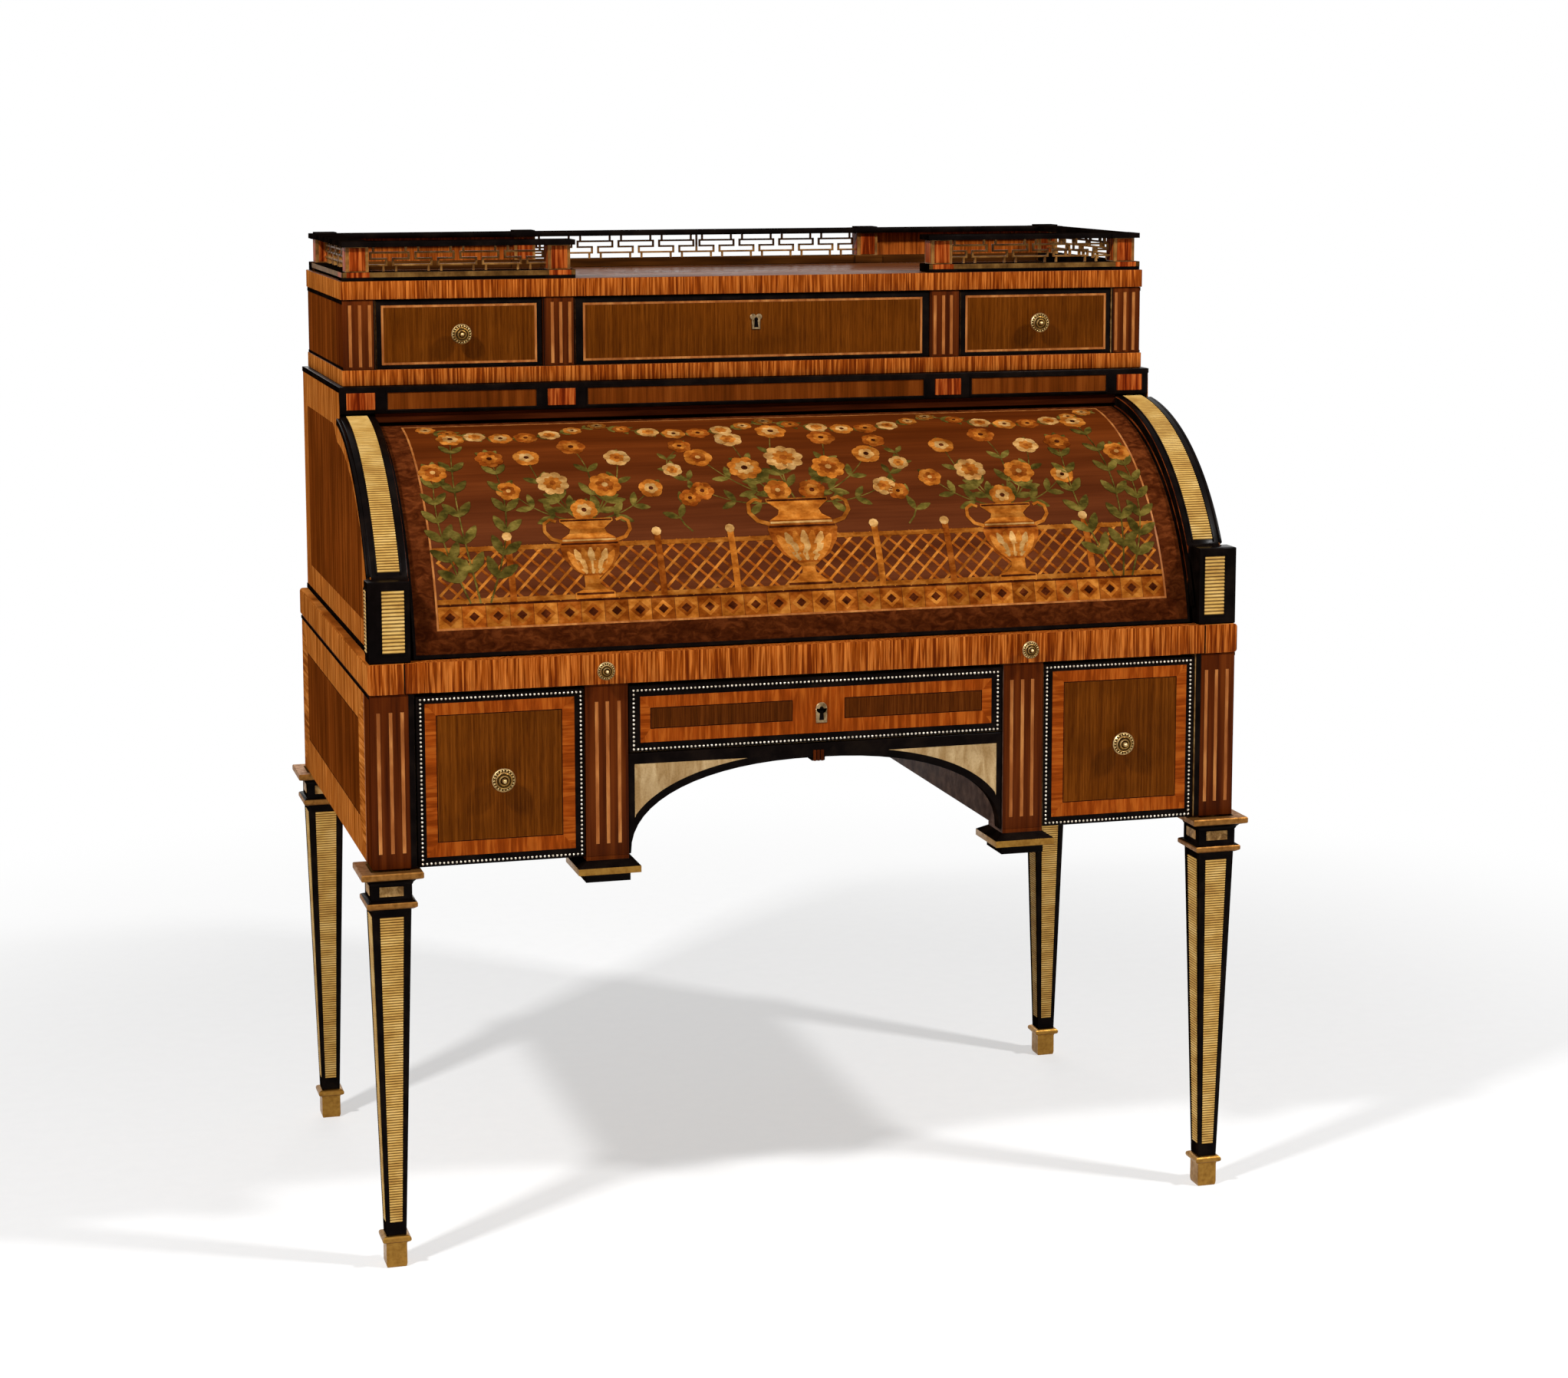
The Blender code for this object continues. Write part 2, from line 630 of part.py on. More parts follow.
slide_front_half = X_SIDE + BAND_PROUD - BAND_WIDTH - RUN / 3
slide_back = band_front + SLIDE_LENGTH
slide = boards("slide", [
    (-slide_front_half, slide_front_half, band_front, band_front + SLIDE_FRONT_T,
     Z_TOP + RUN / 2, Z_DESK),
    (-X_SLIDE, X_SLIDE, band_front, slide_back, Z_TOP + SEAT, Z_DESK - SLIDE_SINK),
], "striped_wood", (0, band_front, Z_DESK))
for side, sign in SIDES:
    knob(f"slide_knob_{side}", SLIDE_KNOB_RADIUS, SLIDE_KNOB_LENGTH, sign * SLIDE_KNOB_X, band_front,
         (Z_BAND + Z_DESK) / 2, slide)
    plate = board(f"slide_bracket_{side}", *span(sign, X_BRACKET, X_BRACKET_OUT),
                  PIN_Y - BRACKET_WIDTH / 2, PIN_Y + BRACKET_WIDTH / 2,
                  PIN_Z - BRACKET_FOOT, Z_DESK - SLIDE_SINK - RUN, "iron", (0, PIN_Y, PIN_Z))
    pin = turned("pin", [(PIN_RADIUS, 0.0), (PIN_RADIUS, X_ARM_OUT + PIN_END - X_BRACKET - BRACKET_T / 2)],
                 (sign * (X_BRACKET + BRACKET_T / 2), PIN_Y, PIN_Z), "x", sign, "iron")
    carry(combine(plate, pin, "UNION"), slide)

# Pedestals on the front corners, with the cheeks behind and above them.
cheek_outline = [(PEDESTAL_BACK + SEAT, Z_DESK + SEAT), (PEDESTAL_BACK + SEAT, Z_PEDESTAL + SEAT)]
cheek_outline += sweep(CHEEK_RADIUS, CHEEK_START, 90, ARC_STEPS)
cheek_outline += [(BACK, AXIS_Z + CHEEK_RADIUS), (BACK, Z_DESK + SEAT)]
for side, sign in SIDES:
    board(f"pedestal_{side}", *span(sign, X_SIDE - PEDESTAL_WIDTH, X_SIDE),
          FRONT, PEDESTAL_BACK, Z_DESK + SEAT, Z_PEDESTAL, "ebonised")
    prism(f"cheek_{side}", cheek_outline, "x", *span(sign, X_CHEEK, X_CHEEK_OUT), "brown_wood")

# Cylinder and its iron arms turn about one empty on the axis.
axis = bpy.data.objects.new("cylinder_axis", None)
axis.location = (0, AXIS_Y, AXIS_Z)
bpy.context.scene.collection.objects.link(axis)
hinge = (0, AXIS_Y, AXIS_Z)
edge_height = AXIS_DROP + RUN
outer_start = degrees(asin(edge_height / CYLINDER_RADIUS))
inner_start = degrees(asin(edge_height / CYLINDER_BORE))
shell = sweep(CYLINDER_RADIUS, outer_start, CYLINDER_TOP_DEG, 2 * ARC_STEPS)
shell += sweep(CYLINDER_BORE, CYLINDER_TOP_DEG, inner_start, 2 * ARC_STEPS)
shell_half = X_CHEEK - CYLINDER_END_GAP
carry(prism("cylinder", shell, "x", -shell_half, shell_half, "red_wood", hinge), axis)


# A point beside a line out from the axis: distance along it, offset to the side, line's angle.
def beside(along, offset, angle):
    y, z = polar(along, angle)
    return (y - offset * sin(radians(angle)), z - offset * cos(radians(angle)))


lever_deg = 270.0 - CYLINDER_OPEN_DEG / 2
lever_half = SLOT_HALF + LEVER_WALL
slot_near = LEVER_DROP - PIN_RADIUS - RUN
slot_far = LEVER_DROP / cos(radians(CYLINDER_OPEN_DEG) / 2) + RUN


def arm_outline():
    rim = CYLINDER_BORE - SEAT
    inner = rim - ARM_FLANGE
    low = ARM_FLANGE_LOW_DEG
    high = ARM_FLANGE_HIGH_DEG
    spoke_inner = degrees(asin(ARM_SPOKE_HALF / inner))
    spoke_hub = degrees(asin(ARM_SPOKE_HALF / ARM_HUB_RADIUS))
    lever_hub = degrees(asin(lever_half / ARM_HUB_RADIUS))
    outline = sweep(rim, high, low, ARC_STEPS)
    outline += sweep(inner, low, ARM_SPOKE_DEG - spoke_inner, ARC_STEPS // 2)
    outline += sweep(ARM_HUB_RADIUS, ARM_SPOKE_DEG - spoke_hub, lever_deg - 360 + lever_hub, 6)
    for i in range(9):
        turn = radians(90 - 22.5 * i)
        outline.append(beside(slot_far + lever_half * cos(turn), -lever_half * sin(turn), lever_deg))
    outline += sweep(ARM_HUB_RADIUS, lever_deg - lever_hub, ARM_SPOKE_DEG + spoke_hub, 6)
    outline += sweep(inner, ARM_SPOKE_DEG + spoke_inner, high, ARC_STEPS // 2)
    return outline


def slot_outline():
    outline = []
    for centre, start in ((slot_far, 90), (slot_near, -90)):
        for i in range(7):
            turn = radians(start - 30 * i)
            outline.append(beside(centre + SLOT_HALF * cos(turn), -SLOT_HALF * sin(turn), lever_deg))
    return outline


for side, sign in SIDES:
    arm = prism(f"cylinder_arm_{side}", arm_outline(), "x", *span(sign, X_ARM, X_ARM_OUT), "iron", hinge)
    slot = prism("slot_cutter", slot_outline(), "x", *span(sign, X_ARM - RUN, X_ARM_OUT + RUN), "iron")
    hole_profile = [(STUD_RADIUS + STUD_PLAY, 0.0), (STUD_RADIUS + STUD_PLAY, ARM_T + 2 * RUN)]
    hole = turned("hole_cutter", hole_profile, (sign * (X_ARM - RUN), AXIS_Y, AXIS_Z), "x", sign, "iron")
    combine(arm, slot, "DIFFERENCE")
    carry(combine(arm, hole, "DIFFERENCE"), axis)
    stud_length = X_PANEL - SEAT - X_ARM + SEAT + STUD_COLLAR_T
    shank_start = stud_length - (X_ARM_OUT + SEAT - X_ARM + SEAT + STUD_COLLAR_T)
    collar_start = stud_length - STUD_COLLAR_T
    stud = [
        (STUD_FLANGE_RADIUS, 0.0), (STUD_FLANGE_RADIUS, STUD_FLANGE_T),
        (STUD_SHANK_RADIUS, STUD_FLANGE_T), (STUD_SHANK_RADIUS, shank_start),
        (STUD_RADIUS, shank_start), (STUD_RADIUS, collar_start),
        (STUD_COLLAR_RADIUS, collar_start), (STUD_COLLAR_RADIUS, stud_length),
    ]
    turned(f"pivot_stud_{side}", stud, (sign * (X_PANEL - SEAT), AXIS_Y, AXIS_Z), "x", -sign, "iron")

board_front = BACK - BACK_BOARD_T
board("cylinder_back", -X_CHEEK + SEAT, X_CHEEK - SEAT, board_front, BACK,
      Z_TOP + SEAT, Z_FRIEZE - SEAT, "brown_wood")

# Nest: a bed carried by the cheeks, a row of drawers and a row of pigeonholes.
nest_back = NEST_Y + NEST_DEPTH
nest_top = AXIS_Z + sqrt((CYLINDER_BORE - NEST_CLEAR) ** 2 - (nest_back - AXIS_Y) ** 2)
shelf = Z_DESK + NEST_ROW
nest_parts = [
    (-X_CHEEK + SEAT, X_CHEEK - SEAT, NEST_Y, board_front - SEAT, Z_DESK - NEST_BED_T, Z_DESK),
    (-X_NEST, X_NEST, NEST_Y, nest_back, nest_top - NEST_BOARD, nest_top),
    (-X_NEST, X_NEST, NEST_Y, nest_back, shelf - NEST_BOARD, shelf),
    (-X_NEST, X_NEST, nest_back - NEST_BOARD, nest_back, Z_DESK - NEST_BED_T, nest_top),
]


# Centre lines of the upright boards that part a row into equal bays.
def uprights(bays):
    reach = X_NEST - NEST_BOARD / 2
    return [-reach + 2 * reach * i / bays for i in range(bays + 1)]


drawer_row = (NEST_DRAWERS, Z_DESK - NEST_BED_T, shelf)
hole_row = (NEST_HOLES, shelf - NEST_BOARD, nest_top)
for bays, low, high in (drawer_row, hole_row):
    for x in uprights(bays):
        nest_parts.append((x - NEST_BOARD / 2, x + NEST_BOARD / 2, NEST_Y, nest_back, low, high))
boards("nest", nest_parts, "red_wood")
bay_lines = uprights(NEST_DRAWERS)
for i in range(NEST_DRAWERS):
    x0 = bay_lines[i] + NEST_BOARD / 2 + RUN / 2
    x1 = bay_lines[i + 1] - NEST_BOARD / 2 - RUN / 2
    z0 = Z_DESK + SEAT
    z1 = shelf - NEST_BOARD - RUN
    drawer(f"nest_drawer_{i + 1}", (x0, x1, z0, z1), NEST_Y + SEAT, NEST_DRAWER_WALL, (x0, x1, z0, z1),
           nest_back - NEST_BOARD - RUN, NEST_DRAWER_WALL, "striped_wood")

# Frieze, with a rail under it that closes the space over the cylinder, and the upper case.
rail_front = Y_FRIEZE + FRIEZE_RAIL_RECESS
boards("frieze", [
    (-X_CHEEK_OUT, X_CHEEK_OUT, Y_FRIEZE, BACK, Z_FRIEZE, Z_FRIEZE + FRIEZE_HEIGHT),
    (-X_CHEEK + SEAT, X_CHEEK - SEAT, rail_front, rail_front + FRIEZE_RAIL_T,
     AXIS_Z + CYLINDER_RADIUS + FRIEZE_RAIL_CLEAR, Z_FRIEZE),
], "ebonised")
cornice_half = X_UPPER + CORNICE_PROUD
band_heights = (("lower_band", Z_LOWER_BAND, LOWER_BAND_HEIGHT), ("cornice", Z_CORNICE, CORNICE_HEIGHT))
for name, low, height in band_heights:
    board(name, -cornice_half, cornice_half, Y_UPPER - CORNICE_PROUD, Y_UPPER_BACK,
          low, low + height, "striped_wood")
z_upper_top = Z_UPPER + UPPER_HEIGHT
upper_inside = Y_UPPER_BACK - UPPER_BACK_T - SEAT
x_upper_panel = X_UPPER - UPPER_SIDE_T
x_upper_stile = X_UPPER - UPPER_STILE_WIDTH
x_centre = UPPER_CENTRE_WIDTH / 2
x_inner_stile = x_centre + UPPER_INNER_STILE
web = x_centre + (UPPER_INNER_STILE - UPPER_DIVIDER_T) / 2
stile_back = Y_UPPER + UPPER_STILE_DEPTH
for side, sign in SIDES:
    plan = [
        (x_upper_stile, Y_UPPER), (X_UPPER, Y_UPPER), (X_UPPER, Y_UPPER_BACK),
        (x_upper_panel, Y_UPPER_BACK), (x_upper_panel, stile_back), (x_upper_stile, stile_back),
    ]
    prism(f"upper_side_{side}", mirrored(plan, sign), "z", Z_UPPER, z_upper_top, "brown_wood")
    plan = [
        (x_centre, Y_UPPER), (x_inner_stile, Y_UPPER), (x_inner_stile, stile_back),
        (web + UPPER_DIVIDER_T, stile_back), (web + UPPER_DIVIDER_T, upper_inside),
        (web, upper_inside), (web, stile_back), (x_centre, stile_back),
    ]
    prism(f"upper_divider_{side}", mirrored(plan, sign), "z", Z_UPPER, z_upper_top, "red_wood")
board("upper_back", -x_upper_panel + SEAT, x_upper_panel - SEAT, Y_UPPER_BACK - UPPER_BACK_T,
      Y_UPPER_BACK, Z_UPPER, z_upper_top, "oak")

upper_front_y = Y_UPPER + DRAWER_RECESS
upper_z = (Z_UPPER + SEAT, z_upper_top - RUN)
upper_end = Y_UPPER_BACK - UPPER_BACK_T - UPPER_DRAWER_CLEAR
for side, sign in SIDES:
    across = span(sign, x_inner_stile + RUN, x_upper_stile - RUN)
    made = drawer(f"upper_drawer_{side}", (*across, *upper_z), upper_front_y, UPPER_FRONT_T,
                  (*across, upper_z[0], upper_z[1] - RUN), upper_end, DRAWER_WALL, "striped_wood")
    knob(f"upper_knob_{side}", UPPER_KNOB_RADIUS, UPPER_KNOB_LENGTH, made.location.x, upper_front_y,
         made.location.z, made)
across = (-x_centre + RUN, x_centre - RUN)
drawer("upper_drawer_centre", (*across, *upper_z), upper_front_y, UPPER_FRONT_T,
       (*across, upper_z[0], upper_z[1] - RUN), upper_end, DRAWER_WALL, "striped_wood")

# Gallery: plinth and cap rails that break out round the posts, with solid panels and pierced key
# frets between them.
z_plinth = Z_GALLERY + GALLERY_PLINTH
z_gallery_top = Z_GALLERY + GALLERY_HEIGHT
z_cap = z_gallery_top - GALLERY_CAP
x_gallery = X_UPPER - GALLERY_INSET
y_gallery = Y_UPPER + GALLERY_INSET
y_rear = Y_UPPER_BACK - GALLERY_REAR_INSET
rail_levels = ((Z_GALLERY, z_plinth), (z_cap, z_gallery_top))
rail_half = GALLERY_RAIL / 2


# Bars of a key fret in four rows between two places: each unit is a T standing on a small foot,
# and the same T upside down hangs between it and the next.
def fret_bars(start, end, count):
    unit = (end - start) / count
    quarter = (z_cap - z_plinth) / 4
    foot_z, mid_z, head_z = (z_plinth + quarter * row for row in (1, 2, 3))
    bar = FRET_BAR / 2
    stem = FRET_STEM / 2
    head = FRET_HEAD / 2
    bars = []
    for i in range(count):
        middle = start + unit * (i + 0.5)
        reach = unit / 2 - stem
        bars.append((middle - reach - bar, middle + reach + bar, head_z - bar, head_z + bar))
        for way in (-1, 1):
            runs = [
                (stem - bar, unit / 2, foot_z - bar, foot_z + bar),
                (head - bar, head + bar, z_plinth, foot_z + bar),
                (stem - bar, stem + bar, foot_z - bar, mid_z + bar),
                (stem - bar, reach + bar, mid_z - bar, mid_z + bar),
                (reach - bar, reach + bar, mid_z - bar, head_z + bar),
                (unit / 2 - head - bar, unit / 2 - head + bar, head_z - bar, z_cap),
            ]
            for near, far, low, high in runs:
                ends = sorted((middle + way * near, middle + way * far))
                bars.append((*ends, low, high))
    return bars


def fret_units(length):
    return max(1, round(length / FRET_UNIT))


# A post, with the blocks that the rails make round its foot and head.
def post(x0, x1, y0, y1):
    out = GALLERY_BREAK
    parts = [(x0, x1, y0, y1, z_plinth, z_cap)]
    for low, high in rail_levels:
        parts.append((x0 - out, x1 + out, y0 - out, y1 + out, low, high))
    return parts


rear_front = y_rear - GALLERY_POST
rear_mid = y_rear - GALLERY_POST / 2
corner_in = x_gallery - GALLERY_POST
post_in = GALLERY_REAR_POST_X - GALLERY_POST / 2
post_out = GALLERY_REAR_POST_X + GALLERY_POST / 2
rear_parts = []
for low, high in rail_levels:
    rear_parts.append((-x_gallery, x_gallery, rear_mid - rail_half, rear_mid + rail_half, low, high))
for side, sign in SIDES:
    for inner, outer in ((corner_in, x_gallery), (post_in, post_out)):
        ends = span(sign, inner, outer)
        rear_parts += post(*ends, rear_front, y_rear)
        rear_parts.append((*ends, rear_front, y_rear, z_gallery_top, z_gallery_top + GALLERY_PAD))
    rear_parts.append((*span(sign, post_out, corner_in), rear_mid - GALLERY_PANEL_T / 2,
                       rear_mid + GALLERY_PANEL_T / 2, z_plinth, z_cap))
rear_bars = fret_bars(-post_in, post_in, 2 * fret_units(post_in))
rear_bars.append((-FRET_BAR / 2, FRET_BAR / 2, z_plinth + (z_cap - z_plinth) / 4, z_cap))
for u0, u1, z0, z1 in rear_bars:
    rear_parts.append((u0, u1, rear_mid - FRET_T / 2, rear_mid + FRET_T / 2, z0, z1))
boards("gallery_rear", rear_parts, "ebonised")

front_mid = y_gallery + GALLERY_POST / 2
end_mid = x_gallery - GALLERY_POST / 2
end_start = y_gallery + GALLERY_POST
end_stop = rear_front - SEAT
front_in = x_gallery - GALLERY_FRONT_LENGTH
front_start = front_in + GALLERY_POST
for side, sign in SIDES:
    parts = post(*span(sign, corner_in, x_gallery), y_gallery, end_start)
    parts += post(*span(sign, front_in, front_start), y_gallery, end_start)
    for low, high in rail_levels:
        parts.append((*span(sign, front_in, x_gallery), front_mid - rail_half, front_mid + rail_half,
                      low, high))
        parts.append((*span(sign, end_mid - rail_half, end_mid + rail_half), y_gallery,
                      end_stop - GALLERY_BREAK, low, high))
    for u0, u1, z0, z1 in fret_bars(front_start, corner_in, fret_units(corner_in - front_start)):
        parts.append((*span(sign, u0, u1), front_mid - FRET_T / 2, front_mid + FRET_T / 2, z0, z1))
    for u0, u1, z0, z1 in fret_bars(end_start, end_stop, fret_units(end_stop - end_start)):
        parts.append((*span(sign, end_mid - FRET_T / 2, end_mid + FRET_T / 2), u0, u1, z0, z1))
    boards(f"gallery_{side}", parts, "ebonised")

print("slide travel", round(SLIDE_TRAVEL, 4), "axis", round(AXIS_Y, 5), round(AXIS_Z, 5))
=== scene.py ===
# Cylinder desk: veneers, reeds, pearls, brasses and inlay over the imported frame.
import json
from math import acos, asin, atan2, copysign, cos, degrees, pi, radians, sin

import bmesh
import bpy
from mathutils import Matrix, Vector

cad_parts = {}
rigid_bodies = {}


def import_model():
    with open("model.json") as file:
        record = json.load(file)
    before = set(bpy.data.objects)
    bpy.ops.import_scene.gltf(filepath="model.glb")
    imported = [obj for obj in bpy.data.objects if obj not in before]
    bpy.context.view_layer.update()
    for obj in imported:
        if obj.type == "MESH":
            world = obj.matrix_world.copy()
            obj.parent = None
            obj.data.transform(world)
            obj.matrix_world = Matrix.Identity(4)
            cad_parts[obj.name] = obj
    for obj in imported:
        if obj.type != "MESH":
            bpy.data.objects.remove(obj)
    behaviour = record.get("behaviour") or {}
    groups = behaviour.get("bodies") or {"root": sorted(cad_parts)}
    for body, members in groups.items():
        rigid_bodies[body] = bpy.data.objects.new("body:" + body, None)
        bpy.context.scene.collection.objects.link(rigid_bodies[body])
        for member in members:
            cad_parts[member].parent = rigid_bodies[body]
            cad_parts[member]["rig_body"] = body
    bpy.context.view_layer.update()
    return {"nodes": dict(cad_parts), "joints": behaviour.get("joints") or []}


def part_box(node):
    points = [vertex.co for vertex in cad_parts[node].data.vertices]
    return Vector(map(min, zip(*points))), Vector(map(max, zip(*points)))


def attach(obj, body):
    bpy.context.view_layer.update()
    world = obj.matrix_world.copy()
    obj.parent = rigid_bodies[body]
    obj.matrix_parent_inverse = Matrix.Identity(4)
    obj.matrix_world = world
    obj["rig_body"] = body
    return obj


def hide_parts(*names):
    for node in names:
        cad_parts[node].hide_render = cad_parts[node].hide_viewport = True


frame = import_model()
sides = (("left", -1, "Left"), ("right", 1, "Right"))
print("frame loaded,", len(frame["nodes"]), "nodes")


# Colours and shader nodes
def tone(colour):  # screen colour 0-255 to the linear colour that a shader takes
    return tuple(v / 3294.6 if v <= 10 else ((v / 255 + 0.055) / 1.055) ** 2.4 for v in colour)


def plug(tree, value, socket):
    if isinstance(value, bpy.types.NodeSocket):
        tree.links.new(value, socket)
    else:
        socket.default_value = value


def addNode(tree, kind, inputs=None, **settings):
    node = tree.nodes.new(kind)
    for key, value in settings.items():
        setattr(node, key, value)
    for key, value in (inputs or {}).items():
        plug(tree, value, node.inputs[key])
    return node


def multiply(tree, share, colour, other):
    node = addNode(tree, "ShaderNodeMix", data_type="RGBA", blend_type="MULTIPLY")
    for slot, value in ((0, share), (6, colour), (7, other)):
        plug(tree, value, node.inputs[slot])
    return node.outputs[2]


def remap(tree, value, low, high, toLow=0.0, toHigh=1.0, **settings):
    inputs = {"Value": value, "From Min": low, "From Max": high, "To Min": toLow, "To Max": toHigh}
    return addNode(tree, "ShaderNodeMapRange", inputs, **settings).outputs["Result"]


def rampOf(tree, factor, stops):
    node = addNode(tree, "ShaderNodeValToRGB", {"Fac": factor})
    while len(node.color_ramp.elements) < len(stops):
        node.color_ramp.elements.new(0.5)
    for element, (place, colour) in zip(node.color_ramp.elements, stops):
        element.position = place
        element.color = (*colour, 1.0)
    return node.outputs["Color"]


def noiseOf(tree, coords, stretch, detail=2.0, bend=0.0):
    mapped = addNode(tree, "ShaderNodeMapping", {"Vector": coords, "Scale": stretch})
    noise = addNode(tree, "ShaderNodeTexNoise", {
        "Vector": mapped.outputs["Vector"], "Scale": 1.0, "Detail": detail, "Roughness": 0.55,
        "Distortion": bend})
    return noise.outputs["Fac"]


def grooveOf(tree):  # 0 in the hollows of a piece, 1 on its crests
    return addNode(tree, "ShaderNodeAttribute", attribute_name="groove").outputs["Fac"]


def startLook(name):
    look = bpy.data.materials.new(name)
    look.use_nodes = True
    tree = look.node_tree
    coords = addNode(tree, "ShaderNodeTexCoord").outputs["Object"]
    return look, tree, tree.nodes["Principled BSDF"], coords


def setSurface(tree, shader, colour, rough, height, relief, depth):
    bump = addNode(tree, "ShaderNodeBump", {"Height": height, "Strength": relief, "Distance": depth})
    for key, value in (("Base Color", colour), ("Roughness", rough), ("Normal", bump.outputs["Normal"])):
        plug(tree, value, shader.inputs[key])


# A polished veneer: broad streaks, fine threads and slow patches, each stretched along the grain.
def veneer(name, wood):
    look, tree, shader, coords = startLook(name)
    streak = noiseOf(tree, coords, wood["streak"], 3.0, wood.get("bend", 0.0))
    thread = noiseOf(tree, coords, wood["thread"])
    patch = noiseOf(tree, coords, wood.get("patch", (9, 9, 9)))
    low, high = wood.get("spread", (0.34, 0.66))
    dark, mid, light = (tone(hue) for hue in wood["hues"])
    colour = rampOf(tree, streak, [(low, dark), (0.5, mid), (high, light)])
    layers = [(wood.get("lines", 0.6), thread, [(0.36, (0.62, 0.58, 0.54)), (0.52, (1, 1, 1))]),
              (wood.get("patches", 0.7), patch, [(0.3, (0.8, 0.78, 0.76)), (0.7, (1.14, 1.12, 1.1))])]
    if "rise" in wood:  # lighter or darker with height; on the burr this is painted light
        low, high, foot, head = wood["rise"]
        height = addNode(tree, "ShaderNodeSeparateXYZ", {"Vector": coords}).outputs["Z"]
        layers.append((1.0, remap(tree, height, low, high), [(0.0, foot), (1.0, head)]))
    if "reeded" in wood:  # painted shade between the reeds and painted highlight on their crests
        layers.append((wood["reeded"], grooveOf(tree), [(0.0, (0.14, 0.09, 0.05)), (0.6, (0.76, 0.73, 0.67)),
                                                        (1.0, (1.24, 1.24, 1.22))]))
    if "pieces" in wood:  # each inlaid piece is cut from another leaf
        island = addNode(tree, "ShaderNodeNewGeometry").outputs["Random Per Island"]
        layers.append((wood["pieces"], island, [(0.0, (0.62, 0.6, 0.56)), (1.0, (1.22, 1.2, 1.14))]))
    for share, source, stops in layers:
        colour = multiply(tree, share, colour, rampOf(tree, source, stops))
    plug(tree, wood.get("shine", 0.1), shader.inputs["Specular IOR Level"])
    gloss = wood.get("gloss", 0.36)
    rough = remap(tree, patch, 0.3, 0.7, gloss - 0.06, gloss + 0.1)
    setSurface(tree, shader, colour, rough, thread, 0.05, 0.0006)
    return look


def metal(name, dark, light, rough, relief, worn=False):
    look, tree, shader, coords = startLook(name)
    cloud = noiseOf(tree, coords, (160, 160, 160), 4.0)
    grit = noiseOf(tree, coords, (1400, 1400, 1400))
    colour = rampOf(tree, cloud, [(0.32, tone(dark)), (0.62, tone(light))])
    if worn:  # tarnish in the hollows
        hollow = [(0.0, (0.1, 0.07, 0.035)), (0.5, (0.62, 0.57, 0.48)), (1.0, (1, 1, 1))]
        colour = multiply(tree, 1.0, colour, rampOf(tree, grooveOf(tree), hollow))
    plug(tree, 1.0, shader.inputs["Metallic"])
    rough = remap(tree, cloud, 0.3, 0.7, rough + 0.12, rough - 0.06)
    setSurface(tree, shader, colour, rough, grit, relief, 0.0004)
    return look


# A wood with its grain along one axis: how close streaks and threads lie across the grain and along it.
def grained(wood, axis, streak, thread, **more):
    def stretch(across, along):
        return tuple(along if i == "xyz".index(axis) else across for i in range(3))
    return dict(wood, streak=stretch(*streak), thread=stretch(*thread), **more)


def hues(*colours, **more):  # dark, middle and light
    return dict(more, hues=colours)


tulip = hues((100, 37, 4), (146, 68, 14), (192, 109, 42), bend=0.5, spread=(0.38, 0.62), lines=0.8, patches=0.6,
             shine=0.02)
walnut = hues((80, 37, 3), (94, 46, 5), (108, 56, 10), lines=0.8, patches=0.95, shine=0.02)
redTulip = dict(tulip, hues=((96, 28, 4), (144, 56, 14), (188, 98, 40)))
frameTulip = dict(tulip, hues=((122, 50, 6), (142, 62, 11), (164, 82, 22)), lines=0.45)
innerTulip = dict(tulip, hues=((112, 49, 9), (146, 69, 18), (172, 90, 29)))
# painted light: a lighter copy of the tulip for faces turned to the side and for the band's top faces
sideTulip = dict(tulip, hues=((130, 66, 18), (168, 94, 33), (196, 122, 54)), shine=0.0)
deepWalnut = dict(walnut, hues=((64, 28, 3), (76, 34, 5), (90, 43, 9)))
# painted light: a lighter copy of the walnut for side faces and for the frieze panels in the lower band's shade
sideWalnut = dict(walnut, hues=((84, 38, 7), (104, 48, 11), (124, 62, 18)), lines=0.5, shine=0.0)
pilaster = hues((56, 20, 4), (78, 31, 6), (96, 43, 11), lines=0.4, patches=0.5)
blackRun = ("z", (40, 40), (500, 60))
sheen = dict(shine=0.02)
oak = hues((116, 82, 46), (150, 112, 66), (176, 140, 90), lines=0.6, gloss=0.5, **sheen)
nest = hues((70, 26, 8), (106, 44, 14), (138, 66, 26), lines=0.5, **sheen)
